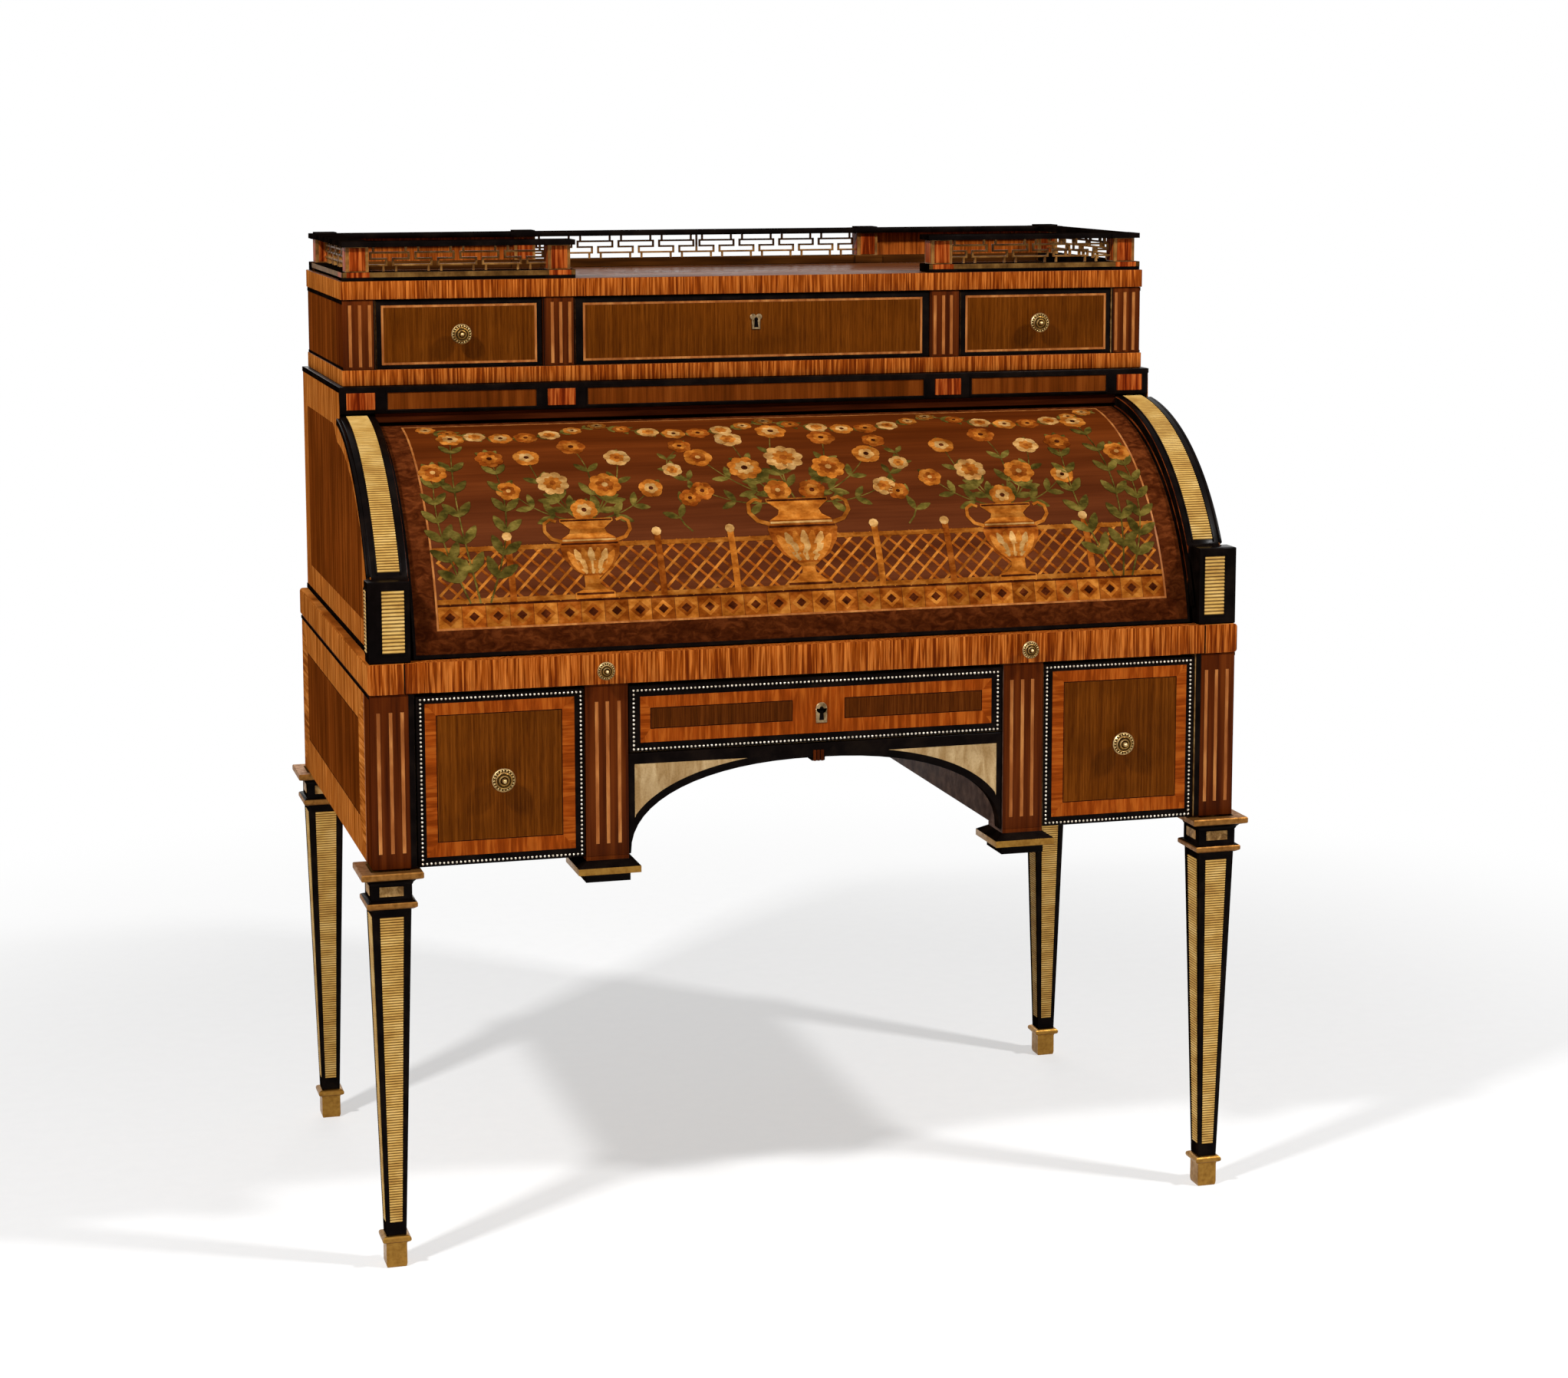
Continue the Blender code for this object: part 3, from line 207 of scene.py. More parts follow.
woods = {
    "tulipUp": grained(tulip, "z", (360, 12), (800, 30), patch=(60, 60, 14)),
    "tulipFlat": grained(tulip, "z", (12, 360), (30, 800), patch=(14, 14, 60)),
    "redTulip": grained(redTulip, "z", (250, 10), (700, 30), patch=(40, 40, 14)),
    "frameUp": grained(frameTulip, "z", (170, 14), (700, 40), patch=(60, 60, 30)),
    "frameFlat": grained(frameTulip, "z", (14, 170), (40, 700), patch=(30, 30, 60)),
    "innerTulip": grained(innerTulip, "z", (290, 10), (900, 30)),
    "sideTulip": grained(sideTulip, "z", (200, 8), (700, 24), patch=(16, 16, 10)),
    "sideTulipFlat": grained(sideTulip, "z", (8, 200), (24, 700), patch=(10, 10, 16)),
    "walnutUp": grained(walnut, "z", (360, 7), (900, 40), patch=(7, 7, 16)),
    "deepWalnut": grained(deepWalnut, "z", (360, 7), (900, 40)),
    "sideWalnut": grained(sideWalnut, "z", (90, 5), (520, 16)),
    "pilasterWood": grained(pilaster, "z", (110, 4), (520, 10), **sheen),
    "sidePilaster": grained(pilaster, "z", (110, 4), (520, 10), shine=0.0),
    "stringing": grained(hues((138, 76, 30), (160, 95, 44), (184, 120, 62)), "z", (90, 20), (500, 30),
                         lines=0.3),
    "ebony": grained(hues((5, 2, 1), (10, 5, 4), (19, 12, 8)), *blackRun, lines=0.3, gloss=0.28, shine=0.025),
    "sideEbony": grained(hues((6, 3, 2), (12, 7, 5), (21, 13, 9)), *blackRun, lines=0.3, gloss=0.4, shine=0.0),
    "kneeWood": grained(hues((56, 40, 34), (72, 54, 46), (88, 68, 58)), "x", (60, 5), (400, 12), lines=0.4,
                        gloss=0.5, **sheen),
    "plinthWood": grained(hues((48, 24, 7), (68, 36, 11), (90, 52, 18)), "x", (90, 6), (460, 14), lines=0.4,
                          shine=0.0),
    # the rail under the frieze: brown like the cylinder ground, darkened further as painted shade under the
    # frieze's edge
    "railWood": grained(hues((44, 15, 4), (62, 24, 7), (80, 34, 12)), "x", (90, 6), (460, 14), lines=0.4,
                        shine=0.0),
    # reeded: painted shade in the hollows between the reeds and painted highlight on their crests
    "maple": grained(hues((176, 134, 68), (196, 156, 84), (212, 176, 107)), "z", (26, 60), (120, 900),
                     lines=0.2, patches=0.25, gloss=0.42, shine=0.03, reeded=1.0),
    "spandrelMaple": grained(hues((150, 118, 74), (170, 140, 96), (190, 162, 118)), "z", (90, 30), (420, 420),
                             bend=0.6, lines=0.35, gloss=0.45),
    "neckMaple": grained(hues((112, 78, 38), (154, 114, 62), (198, 158, 98)), "z", (130, 90), (420, 420),
                         bend=0.8, lines=0.35, gloss=0.45),
    "fretWood": grained(hues((96, 60, 22), (130, 86, 37), (158, 112, 56)), "z", (60, 60), (500, 80), lines=0.4,
                        gloss=0.4),
    "fretShade": grained(hues((70, 46, 18), (94, 64, 29), (116, 84, 42)), "z", (60, 60), (500, 80), lines=0.4,
                         gloss=0.4, **sheen),
    "topWood": grained(hues((66, 33, 14), (88, 48, 23), (110, 65, 36)), "x", (70, 5), (420, 12), lines=0.4,
                       gloss=0.26, shine=0.006),
    "caseOak": grained(oak, "x", (70, 5), (420, 14)),
    "sideOak": grained(oak, "y", (70, 5), (420, 14)),
    "backWood": grained(hues((66, 34, 14), (92, 52, 24), (118, 72, 36)), "z", (110, 4), (520, 12), gloss=0.5,
                        **sheen),
    "nestWood": grained(nest, "x", (90, 6), (460, 14)),
    "sideNest": grained(nest, "y", (90, 6), (460, 14)),
    "writingWood": grained(hues((92, 44, 10), (118, 60, 17), (144, 82, 28)), "x", (80, 4), (520, 12), bend=0.4,
                           lines=0.5, patch=(4, 9, 9), gloss=0.4, shine=0.03),
    # burr: darker low down and lighter higher up, painted light for the border's upper part turning to the
    # lamps
    "burr": grained(hues((54, 20, 5), (72, 31, 10), (94, 45, 18)), "x", (110, 70), (340, 260), bend=0.9,
                    lines=0.45, patch=(12, 16, 16), patches=0.9, shine=0.0,
                    rise=(0.75, 0.83, (0.82, 0.8, 0.78), (1.16, 1.16, 1.16))),
    "cylinderGround": grained(hues((74, 33, 12), (84, 39, 15), (95, 46, 19)), "x", (40, 3), (420, 8), lines=0.3,
                              patch=(4, 10, 10), patches=0.6, shine=0.0,
                              rise=(0.86, 0.98, (0.98, 1.05, 1.4), (1.12, 0.96, 0.55))),
}
inlayHues = {
    "boxwood": ((134, 70, 18), (164, 94, 29), (190, 121, 49)),
    "satinwood": ((106, 46, 9), (138, 69, 18), (164, 92, 32)),
    "greenStain": ((58, 51, 17), (88, 76, 29), (116, 100, 45)),
    "holly": ((152, 104, 53), (180, 134, 75), (202, 160, 103)),
    "rosewood": ((40, 14, 5), (64, 26, 10), (90, 40, 16)),
}
for name, colours in inlayHues.items():
    woods[name] = grained(hues(*colours), "x", (90, 60), (500, 300), lines=0.45, pieces=0.8, patch=(50, 50, 50),
                          patches=0.6, shine=0.0)
metals = {
    "giltBrass": ((130, 90, 36), (154, 113, 50), 0.36, 0.12),
    "mouldingBrass": ((116, 74, 30), (146, 100, 48), 0.52, 0.1),
    "knobBrass": ((168, 136, 84), (222, 196, 142), 0.28, 0.08, True),
    "plateBrass": ((92, 72, 46), (160, 134, 98), 0.34, 0.1),
    "pearlMetal": ((150, 138, 120), (226, 216, 198), 0.3, 0.05),
    "ironwork": ((46, 44, 42), (96, 92, 88), 0.5, 0.2),
}
looks = {name: veneer(name, wood) for name, wood in woods.items()}
looks.update({name: metal(name, *values) for name, values in metals.items()})
print("finishes:", len(looks))


# Shared ways of making pieces. Faces turned to the side take the duller twin of their finish; the tulip and
# walnut twins are also lighter copies, painted light on the sides.
sideTwins = {"tulipUp": "sideTulip", "tulipFlat": "sideTulipFlat", "walnutUp": "sideWalnut",
             "ebony": "sideEbony", "pilasterWood": "sidePilaster", "caseOak": "sideOak", "nestWood": "sideNest"}
letIn, deepIn = 0.0002, 0.0003  # how deep applied pieces reach into the board under them
thinProud, veneerProud, bandProud, mouldProud = 0.0003, 0.0004, 0.0006, 0.0010  # how far they stand off it
thinEase, fineEase, crispEase = 0.0003, 0.0004, 0.0005  # how far arrises are eased
boardEase, postEase, softEase, roundEase = 0.0006, 0.0008, 0.0010, 0.0014


def publish(name, bm, finishes, smooth=0, body="case", stands=()):
    finishes = finishes.split()
    bm.normal_update()
    for face in bm.faces:
        twin = sideTwins.get(finishes[face.material_index])
        if twin and abs(face.normal.x) > 0.5:
            finishes += [] if twin in finishes else [twin]
            face.material_index = finishes.index(twin)
    mesh = bpy.data.meshes.new(name)
    bm.to_mesh(mesh)
    bm.free()
    for finish in finishes:
        mesh.materials.append(looks[finish])
    if smooth:
        mesh.shade_smooth()
        mesh.set_sharp_from_angle(angle=radians(smooth))
    piece = bpy.data.objects.new(name, mesh)
    bpy.context.scene.collection.objects.link(piece)
    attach(piece, body)
    if stands:
        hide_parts(*stands)


def settle(bm):
    bmesh.ops.remove_doubles(bm, verts=bm.verts, dist=0.000005)
    bmesh.ops.recalc_face_normals(bm, faces=bm.faces)


def sharpEdges(bm, angle):
    return [e for e in bm.edges if e.calc_face_angle(0) > radians(angle)]


def easeEdges(bm, edges, width, segments=2):
    bmesh.ops.bevel(bm, geom=edges, offset=width, offset_type="OFFSET", affect="EDGES", segments=segments,
                    profile=0.5, material=-1, clamp_overlap=True)


# A CAD node's solid with its arrises eased, and a finish for each face by where it lies.
def easedCopy(node, name, finishes, ease=boardEase, pick=None):
    source = frame["nodes"][node]
    bm = bmesh.new()
    bm.from_mesh(source.data)
    bmesh.ops.remove_doubles(bm, verts=bm.verts, dist=0.00002)
    bmesh.ops.dissolve_limit(bm, angle_limit=radians(0.6), verts=bm.verts, edges=bm.edges)
    for face in bm.faces:
        face.material_index = pick(face.calc_center_median(), face.normal) if pick else 0
    easeEdges(bm, sharpEdges(bm, 28), ease)
    publish(name, bm, finishes, 40, source["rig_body"], (node,))


def innerSide(sign):  # picks the faces turned to the middle of the desk
    return lambda centre, normal: 1 if normal.x * sign < -0.5 else 0


def behind(depth):  # picks the faces behind a front
    return lambda centre, normal: 0 if centre.y < depth else 1


# A plane to work on: u and v lie in it, t stands out of it.
def facing(way, at):
    along, out = {"front": ((1, 0, 0), (0, -1, 0)), "back": ((-1, 0, 0), (0, 1, 0)),
                  "right": ((0, 1, 0), (1, 0, 0)), "left": ((0, -1, 0), (-1, 0, 0))}[way]
    spot = (0, at, 0) if way in ("front", "back") else (at, 0, 0)
    return Matrix.Translation(spot) @ Matrix((along, (0, 0, 1), out)).transposed().to_4x4()


def flipped(way, low, high):  # left and back planes count u backwards
    return (-high, -low) if way in ("left", "back") else (low, high)


def mirrored(sign, low, high, *rest):  # a span given for the right, on either side
    return (*sorted((sign * low, sign * high)), *rest)


def outerX(box, sign):
    return box[1].x if sign > 0 else box[0].x


def inset(rect, by):
    u0, u1, v0, v1 = rect
    return u0 + by, u1 - by, v0 + by, v1 - by


def slab(bm, plane, rect, high, finish=0, ease=0.0, low=-letIn):
    u0, u1, v0, v1 = rect
    spot = Matrix.Translation(((u0 + u1) / 2, (v0 + v1) / 2, (low + high) / 2))
    size = Matrix.Diagonal((u1 - u0, v1 - v0, high - low, 1))
    made = bmesh.ops.create_cube(bm, size=1.0, matrix=plane @ spot @ size)
    for face in {f for v in made["verts"] for f in v.link_faces}:
        face.material_index = finish
    if ease:
        easeEdges(bm, list({e for v in made["verts"] for e in v.link_edges}), ease, 1)


def cutPiece(bm, plane, outline, high, finish=0, low=-letIn):
    face = bm.faces.new([bm.verts.new(plane @ Vector((u, v, low))) for u, v in outline])
    raised = bmesh.ops.extrude_face_region(bm, geom=[face])["geom"]
    verts = [g for g in raised if isinstance(g, bmesh.types.BMVert)]
    bmesh.ops.translate(bm, verts=verts, vec=plane.to_3x3() @ Vector((0, 0, high - low)))
    for part in {f for v in verts for f in v.link_faces} | {face}:
        part.material_index = finish


# Four mitred strips between an outer and an inner rectangle; the upright ones take the second finish.
def mitredFrame(bm, plane, outer, inner, high):
    a, b, c, d = outer
    e, f, g, h = inner
    cutPiece(bm, plane, [(a, c), (b, c), (f, g), (e, g)], high)
    cutPiece(bm, plane, [(e, h), (f, h), (b, d), (a, d)], high)
    cutPiece(bm, plane, [(a, c), (e, g), (e, h), (a, d)], high, 1)
    cutPiece(bm, plane, [(f, g), (b, c), (b, d), (f, h)], high, 1)


def lineFrame(bm, plane, rect, width, high, finish=0, low=-letIn):
    u0, u1, v0, v1 = rect
    for v in (v0, v1 - width):
        slab(bm, plane, (u0, u1, v, v + width), high, finish, low=low)
    for u in (u0, u1 - width):
        slab(bm, plane, (u, u + width, v0 + width, v1 - width), high, finish, low=low)


def stripe(bm, plane, u, width, foot, top):
    slab(bm, plane, (u - width / 2, u + width / 2, foot, top), thinProud)


# Adds a finished part to a piece, with its own finish where one is given.
def gather(bm, part, finish=None):
    if finish is not None:
        for face in part.faces:
            face.material_index = finish
    mesh = bpy.data.meshes.new("part")
    part.to_mesh(mesh)
    part.free()
    bm.from_mesh(mesh)
    bpy.data.meshes.remove(mesh)


pearls = dict(pitch=0.0051, radius=0.00168, sink=0.0004, string=12)


# Pearls round a rectangle, in short strings.
def pearlFrame(bm, plane, rect):
    u0, u1, v0, v1 = rect
    corners = ((u0, v0), (u1, v0), (u1, v1), (u0, v1))
    for (ua, va), (ub, vb) in zip(corners, corners[1:] + corners[:1]):
        count = round((abs(ub - ua) + abs(vb - va)) / pearls["pitch"])
        for first in range(0, count, pearls["string"]):
            string = bmesh.new()
            for i in range(first, min(first + pearls["string"], count)):
                spot = Vector((ua + (ub - ua) * i / count, va + (vb - va) * i / count, pearls["sink"]))
                bmesh.ops.create_uvsphere(string, u_segments=8, v_segments=5, radius=pearls["radius"],
                                          matrix=plane @ Matrix.Translation(spot))
            gather(bm, string, 0)


def unitBar(steps):  # a unit cube cut across its length
    bar = bmesh.new()
    bmesh.ops.create_cube(bar, size=1.0, matrix=Matrix.Translation((0.5, 0.5, 0.5)))
    along = [e for e in bar.edges if abs(e.verts[0].co.y - e.verts[1].co.y) > 0.5]
    bmesh.ops.subdivide_edges(bar, edges=along, cuts=steps - 1, use_grid_fill=True)
    return bar


# A bar with half-round ribs across it. place(u, v, t, rib) puts each point, with u, v, t from 0 to 1.
def reedBar(bm, ribs, place, finish=0):
    bar = unitBar(ribs * 4)
    groove = bar.verts.layers.float.new("groove")
    for vert in bar.verts:
        u, v, t = vert.co
        vert[groove] = abs(sin(pi * ribs * v))
        vert.co = place(u, v, t, vert[groove])
    if "groove" not in bm.verts.layers.float.keys():
        bm.verts.layers.float.new("groove")
    gather(bm, bar, finish)


def flatReeds(bm, plane, rect, ribs, relief):
    u0, u1, v0, v1 = rect

    def place(u, v, t, rib):
        return plane @ Vector((u0 + (u1 - u0) * u, v0 + (v1 - v0) * v, t * (thinProud + relief * rib) - letIn))
    reedBar(bm, ribs, place)


# A square turning: the corner line of the profile, spun in four quarter turns.
def squareTurning(bm, profile, x, y, closed=False):
    verts = [bm.verts.new((x + half, y + half, z)) for half, z in profile]
    pairs = list(zip(verts, verts[1:])) + ([(verts[-1], verts[0])] if closed else [])
    edges = [bm.edges.new(pair) for pair in pairs]
    bmesh.ops.spin(bm, geom=verts + edges, cent=(x, y, 0), axis=(0, 0, 1), angle=2 * pi, steps=4,
                   use_merge=True)


# Plain boards and ironwork keep their CAD shape
plainNodes = {"caseOak": ("floor_left", "floor_right", "dust_board", "slide_bed"),
              "backWood": ("lower_back", "cylinder_back", "upper_back"),
              "ironwork": [f"{node}_{side}" for node in ("cylinder_arm", "pivot_stud", "slide_bracket")
                           for side, sign, tag in sides]}
for finish, nodes in plainNodes.items():
    for node in nodes:
        frame["nodes"][node].material_slots[0].material = looks[finish]

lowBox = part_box("side_right")
sideX, frontY, backY, footZ, topZ = lowBox[1].x, lowBox[0].y, lowBox[1].y, lowBox[0].z, lowBox[1].z

# Legs
leg = dict(footZ=0.0063, footHalf=0.0113, ringZ=0.448, topHalf=0.0237, neckHalf=0.0247, neckTop=0.4785,
           neckRise=0.001, panelFoot=(0.0565, 0.0074), panelTop=(0.4365, 0.0141), panelMargin=0.006,
           recess=0.0009, reeds=118, relief=0.0009, reedBase=0.0004, neckInset=(0.0143, 0.4622, 0.4742),
           blackCoves=((0.4756, 0.4838), (0.4553, 0.4580), (0, 0.4472)))
capProfile = [(0.0238, 0.4755), (0.0252, 0.4765), (0.0262, 0.4792), (0.0290, 0.4822), (0.0336, 0.4838),
              (0.0362, 0.4846), (0.0372, 0.4858), (0.0372, 0.4912), (0.0362, 0.4925), (0.0238, 0.4925)]
ringProfile = [(0.0230, 0.4458), (0.0250, 0.4462), (0.0272, 0.4474), (0.0294, 0.4488), (0.0303, 0.4499),
               (0.0303, 0.4540), (0.0294, 0.4552), (0.0262, 0.4566), (0.0230, 0.4572)]
sabotProfile = [(0, 0), (0.0112, 0), (0.0118, 0.0008), (0.0124, 0.0032), (0.0126, 0.0052), (0.0125, 0.0285),
                (0.0129, 0.0308), (0.0146, 0.0318), (0.0166, 0.0330), (0.0174, 0.0344), (0.0174, 0.0368),
                (0.0164, 0.0386), (0.0146, 0.0397), (0.0132, 0.0403), (0.0116, 0.0403), (0, 0.0370)]


def shaftHalf(z):
    spread, rise = leg["topHalf"] - leg["footHalf"], leg["ringZ"] - leg["footZ"]
    return leg["footHalf"] + spread * (z - leg["footZ"]) / rise


def legPanel(share):  # height and half width of the reeded panel, from its foot to its top
    return [low + (high - low) * share for low, high in zip(leg["panelFoot"], leg["panelTop"])]


def legReeds(bm, x, y, dx, dy):
    def place(u, v, t, rib):
        z, half = legPanel(v)
        out = shaftHalf(z) - leg["recess"] - deepIn + t * (leg["reedBase"] + leg["relief"] * rib)
        along = half * (2 * u - 1)
        return Vector((x + dx * out - dy * along, y + dy * out + dx * along, z))
    reedBar(bm, leg["reeds"], place, 1)


def legShaft(bm, x, y):
    squareTurning(bm, [(0, leg["footZ"]), (leg["footHalf"], leg["footZ"]), (leg["topHalf"], leg["ringZ"]),
                       (leg["neckHalf"], leg["ringZ"] + leg["neckRise"]), (leg["neckHalf"], leg["neckTop"]),
                       (0, leg["neckTop"])], x, y)
    settle(bm)
    tall = [f for f in bm.faces if f.calc_center_median().z < 0.3 and abs(f.normal.z) < 0.3]
    bmesh.ops.inset_individual(bm, faces=tall, thickness=leg["panelMargin"], depth=-leg["recess"])
    axis = Vector((x, y, 0))
    for face in tall:
        out = face.calc_center_median() - axis
        flat = 0 if abs(out.x) > abs(out.y) else 1
        for vert in face.verts:
            z, half = legPanel(1 if vert.co.z > 0.2 else 0)
            spot = vert.co - axis
            spot[flat] = copysign(shaftHalf(z) - leg["recess"], out[flat])
            spot[1 - flat] = copysign(half, spot[1 - flat])
            vert.co = (x + spot.x, y + spot.y, z)


for end in ("front", "back"):
    for side, sign, tag in sides:
        low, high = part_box(f"leg_{end}_{side}")
        x, y = (low.x + high.x) / 2, (low.y + high.y) / 2
        tag = end.capitalize() + tag
        bm = bmesh.new()
        legShaft(bm, x, y)
        settle(bm)
        easeEdges(bm, sharpEdges(bm, 60), crispEase)
        for dx, dy in ((1, 0), (-1, 0), (0, 1), (0, -1)):
            legReeds(bm, x, y, dx, dy)
        half, *heights = leg["neckInset"]
        for way, mid, at in (("front", x, y - leg["neckHalf"]), ("back", x, y + leg["neckHalf"]),
                             ("left", y, x - leg["neckHalf"]), ("right", y, x + leg["neckHalf"])):
            rect = (*flipped(way, mid - half, mid + half), *heights)
            slab(bm, facing(way, at), rect, bandProud, 2, thinEase, -deepIn)
        bmesh.ops.recalc_face_normals(bm, faces=bm.faces)
        publish(f"leg{tag}", bm, "ebony maple neckMaple", 35, stands=(f"leg_{end}_{side}",))
        bm = bmesh.new()
        squareTurning(bm, capProfile, x, y, True)
        squareTurning(bm, ringProfile, x, y, True)
        settle(bm)
        for face in bm.faces:
            z = face.calc_center_median().z
            face.material_index = 1 if any(foot < z < top for foot, top in leg["blackCoves"]) else 0
        publish(f"legMouldings{tag}", bm, "mouldingBrass ebony", 30)
        bm = bmesh.new()
        squareTurning(bm, sabotProfile, x, y)
        settle(bm)
        publish(f"sabot{tag}", bm, "giltBrass", 30, stands=(f"sabot_{end}_{side}",))
print("legs done")

# Lower carcase: fluted corners, veneered sides, pendants
corner = dict(stripes=(0.5117, 0.5254, 0.540), foot=0.513, top=0.6827, width=0.0042, black=(0.4972, 0.504))
innerPilaster = dict(stripes=(0.2502, 0.2644, 0.2776), foot=0.509, top=0.683, pendant=0.0045,
                     gilt=(0.4728, 0.4822))
sidePanel = dict(span=(-0.2685, 0.3174), foot=0.4945, top=0.6995, fieldSpan=(-0.222, 0.262),
                 fieldHeight=(0.541, 0.661), line=0.0012, postLine=(0.0022, 0.0008))
for side, sign, tag in sides:
    easedCopy(f"side_{side}", f"cornerPost{tag}", "pilasterWood caseOak", postEase, innerSide(sign))
    front, plane = facing("front", frontY), facing(side, sign * sideX)
    bm = bmesh.new()
    for post in (corner, innerPilaster):
        for u in post["stripes"]:
            stripe(bm, front, sign * u, corner["width"], post["foot"], post["top"])
    publish(f"pilasterStripes{tag}", bm, "stringing")
    bm = bmesh.new()
    slab(bm, front, mirrored(sign, *corner["black"], footZ + 0.0006, topZ - 0.0003), veneerProud)
    ends = flipped(side, frontY + 0.001, backY - 0.001)
    slab(bm, plane, (*ends, sidePanel["top"], topZ - 0.0002), mouldProud, 0, fineEase)
    publish(f"carcaseBlacks{tag}", bm, "ebony")
    heights = (sidePanel["foot"], sidePanel["top"])
    field = (*flipped(side, *sidePanel["fieldSpan"]), *sidePanel["fieldHeight"])
    bm = bmesh.new()
    mitredFrame(bm, plane, (*flipped(side, *sidePanel["span"]), *heights), field, veneerProud)
    slab(bm, plane, inset(field, sidePanel["line"]), veneerProud, 2)
    lineFrame(bm, plane, field, sidePanel["line"], veneerProud * 0.8, 3)
    postLine = [sidePanel["span"][0] - reach for reach in sidePanel["postLine"]]
    slab(bm, plane, (*flipped(side, *postLine), *heights), thinProud, 4)
    settle(bm)
    publish(f"sideVeneer{tag}", bm, "sideTulip sideTulipFlat sideWalnut sideEbony stringing")

    def kneeFinish(centre, normal):
        if centre.z > footZ - innerPilaster["pendant"]:
            return 1 if normal.x * sign < -0.5 and centre.y > frontY + 0.001 else 0
        return 2 if innerPilaster["gilt"][0] < centre.z < innerPilaster["gilt"][1] else 3
    easedCopy(f"knee_side_{side}", f"innerPilaster{tag}", "pilasterWood kneeWood giltBrass ebony",
              postEase, kneeFinish)
print("carcase done")

# Arched apron: black frame, pale spandrels, small keystone
apron = dict(half=0.2360, rise=0.1055, power=2.25, spandrelTop=0.6038, spandrelEdge=0.2310, edge=0.0094,
             steps=60, foot=0.004, proud=0.0005, ridges=(-0.0048, 0, 0.0048), ridgeHalf=0.0019,
             ridge=(0.5950, 0.6085), ridgeProud=0.0018)


def archPoint(turn, outset):  # a place along the arch, moved out square to it
    power = 2 / apron["power"]
    x, z = apron["half"] * cos(turn) ** power, apron["rise"] * sin(turn) ** power
    nx, nz = cos(turn) ** (2 - power), apron["half"] / apron["rise"] * sin(turn) ** (2 - power)
    size = (nx * nx + nz * nz) ** 0.5
    return x + outset * nx / size, footZ + z + outset * nz / size


easedCopy("arch_apron", "archFrame", "ebony", postEase)
face = facing("front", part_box("arch_apron")[0].y)
edge, top = apron["spandrelEdge"], apron["spandrelTop"]
arch = [archPoint(pi / 2 * i / apron["steps"], apron["edge"]) for i in range(1, apron["steps"])]
arch = [(x, z) for x, z in arch if x < edge and z < top]
bm = bmesh.new()
for side, sign, tag in sides:
    outline = [(edge, top), (edge, arch[0][1] - apron["foot"]), *arch]
    cutPiece(bm, face, [(sign * x, z) for x, z in outline], apron["proud"], low=-deepIn)
settle(bm)
publish("archSpandrels", bm, "spandrelMaple")
bm = bmesh.new()
for u in apron["ridges"]:
    rect = (u - apron["ridgeHalf"], u + apron["ridgeHalf"], *apron["ridge"])
    slab(bm, face, rect, apron["ridgeProud"], 0, boardEase, -deepIn)
publish("keystoneReeds", bm, "pilasterWood")
print("apron done")

# Drawers
frontThick = 0.0185
lowDrawer = dict(pearl=(0.2970, 0.4900, 0.498, 0.696), band=(0.3047, 0.4847, 0.5056, 0.6907),
                 panel=(0.3195, 0.4716, 0.5227, 0.6767), line=0.0011)
centreDrawer = dict(pearl=(-0.232, 0.232, 0.622, 0.694), band=(-0.2237, 0.2237, 0.630, 0.6862),
                    inside=(-0.2115, 0.2115, 0.6462, 0.6722), block=0.033, line=0.0011)
upperDrawer = dict(line=0.0028, side=(0.2870, 0.4845, 1.0695, 1.1440), centre=(-0.2270, 0.2270, 1.0695, 1.1432))


def drawerCase(node, name):
    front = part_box(node)[0].y
    easedCopy(node, name, "ebony caseOak", boardEase, behind(front + frontThick))
    return facing("front", front)


def drawerPearls(tag, face, rect, body):
    bm = bmesh.new()
    pearlFrame(bm, face, rect)
    publish(f"lowDrawerPearls{tag}", bm, "pearlMetal", smooth=60, body=body)


for side, sign, tag in sides:
    body = f"low_drawer_{side}"
    face = drawerCase(f"lower_drawer_{side}", f"lowDrawer{tag}")
    bm = bmesh.new()
    panel = mirrored(sign, *lowDrawer["panel"])
    mitredFrame(bm, face, mirrored(sign, *lowDrawer["band"]), panel, bandProud)
    slab(bm, face, inset(panel, lowDrawer["line"]), bandProud, 2)
    settle(bm)
    publish(f"lowDrawerVeneer{tag}", bm, "frameUp frameFlat walnutUp", body=body)
    drawerPearls(tag, face, mirrored(sign, *lowDrawer["pearl"]), body)

face = drawerCase("lower_drawer_centre", "lowDrawerCentre")
bm = bmesh.new()
mitredFrame(bm, face, centreDrawer["band"], centreDrawer["inside"], bandProud)
u0, u1, *heights = centreDrawer["inside"]
block = centreDrawer["block"]
slab(bm, face, (-block, block, *heights), bandProud)
for ends in ((u0, -block), (block, u1)):
    slab(bm, face, inset((*ends, *heights), centreDrawer["line"]), bandProud, 2)
settle(bm)
publish("lowDrawerVeneerCentre", bm, "frameUp frameFlat deepWalnut", body="low_drawer_centre")
drawerPearls("Centre", face, centreDrawer["pearl"], "low_drawer_centre")

for side, sign, tag in (*sides, ("centre", 0, "Centre")):
    face = drawerCase(f"upper_drawer_{side}", f"upperDrawer{tag}")
    rect = mirrored(sign, *upperDrawer["side"]) if sign else upperDrawer["centre"]
    bm = bmesh.new()
    slab(bm, face, inset(rect, upperDrawer["line"]), veneerProud)
    lineFrame(bm, face, rect, upperDrawer["line"], bandProud, 1)
    publish(f"upperDrawerVeneer{tag}", bm, "walnutUp stringing", body=f"top_drawer_{side}")
print("drawers done")

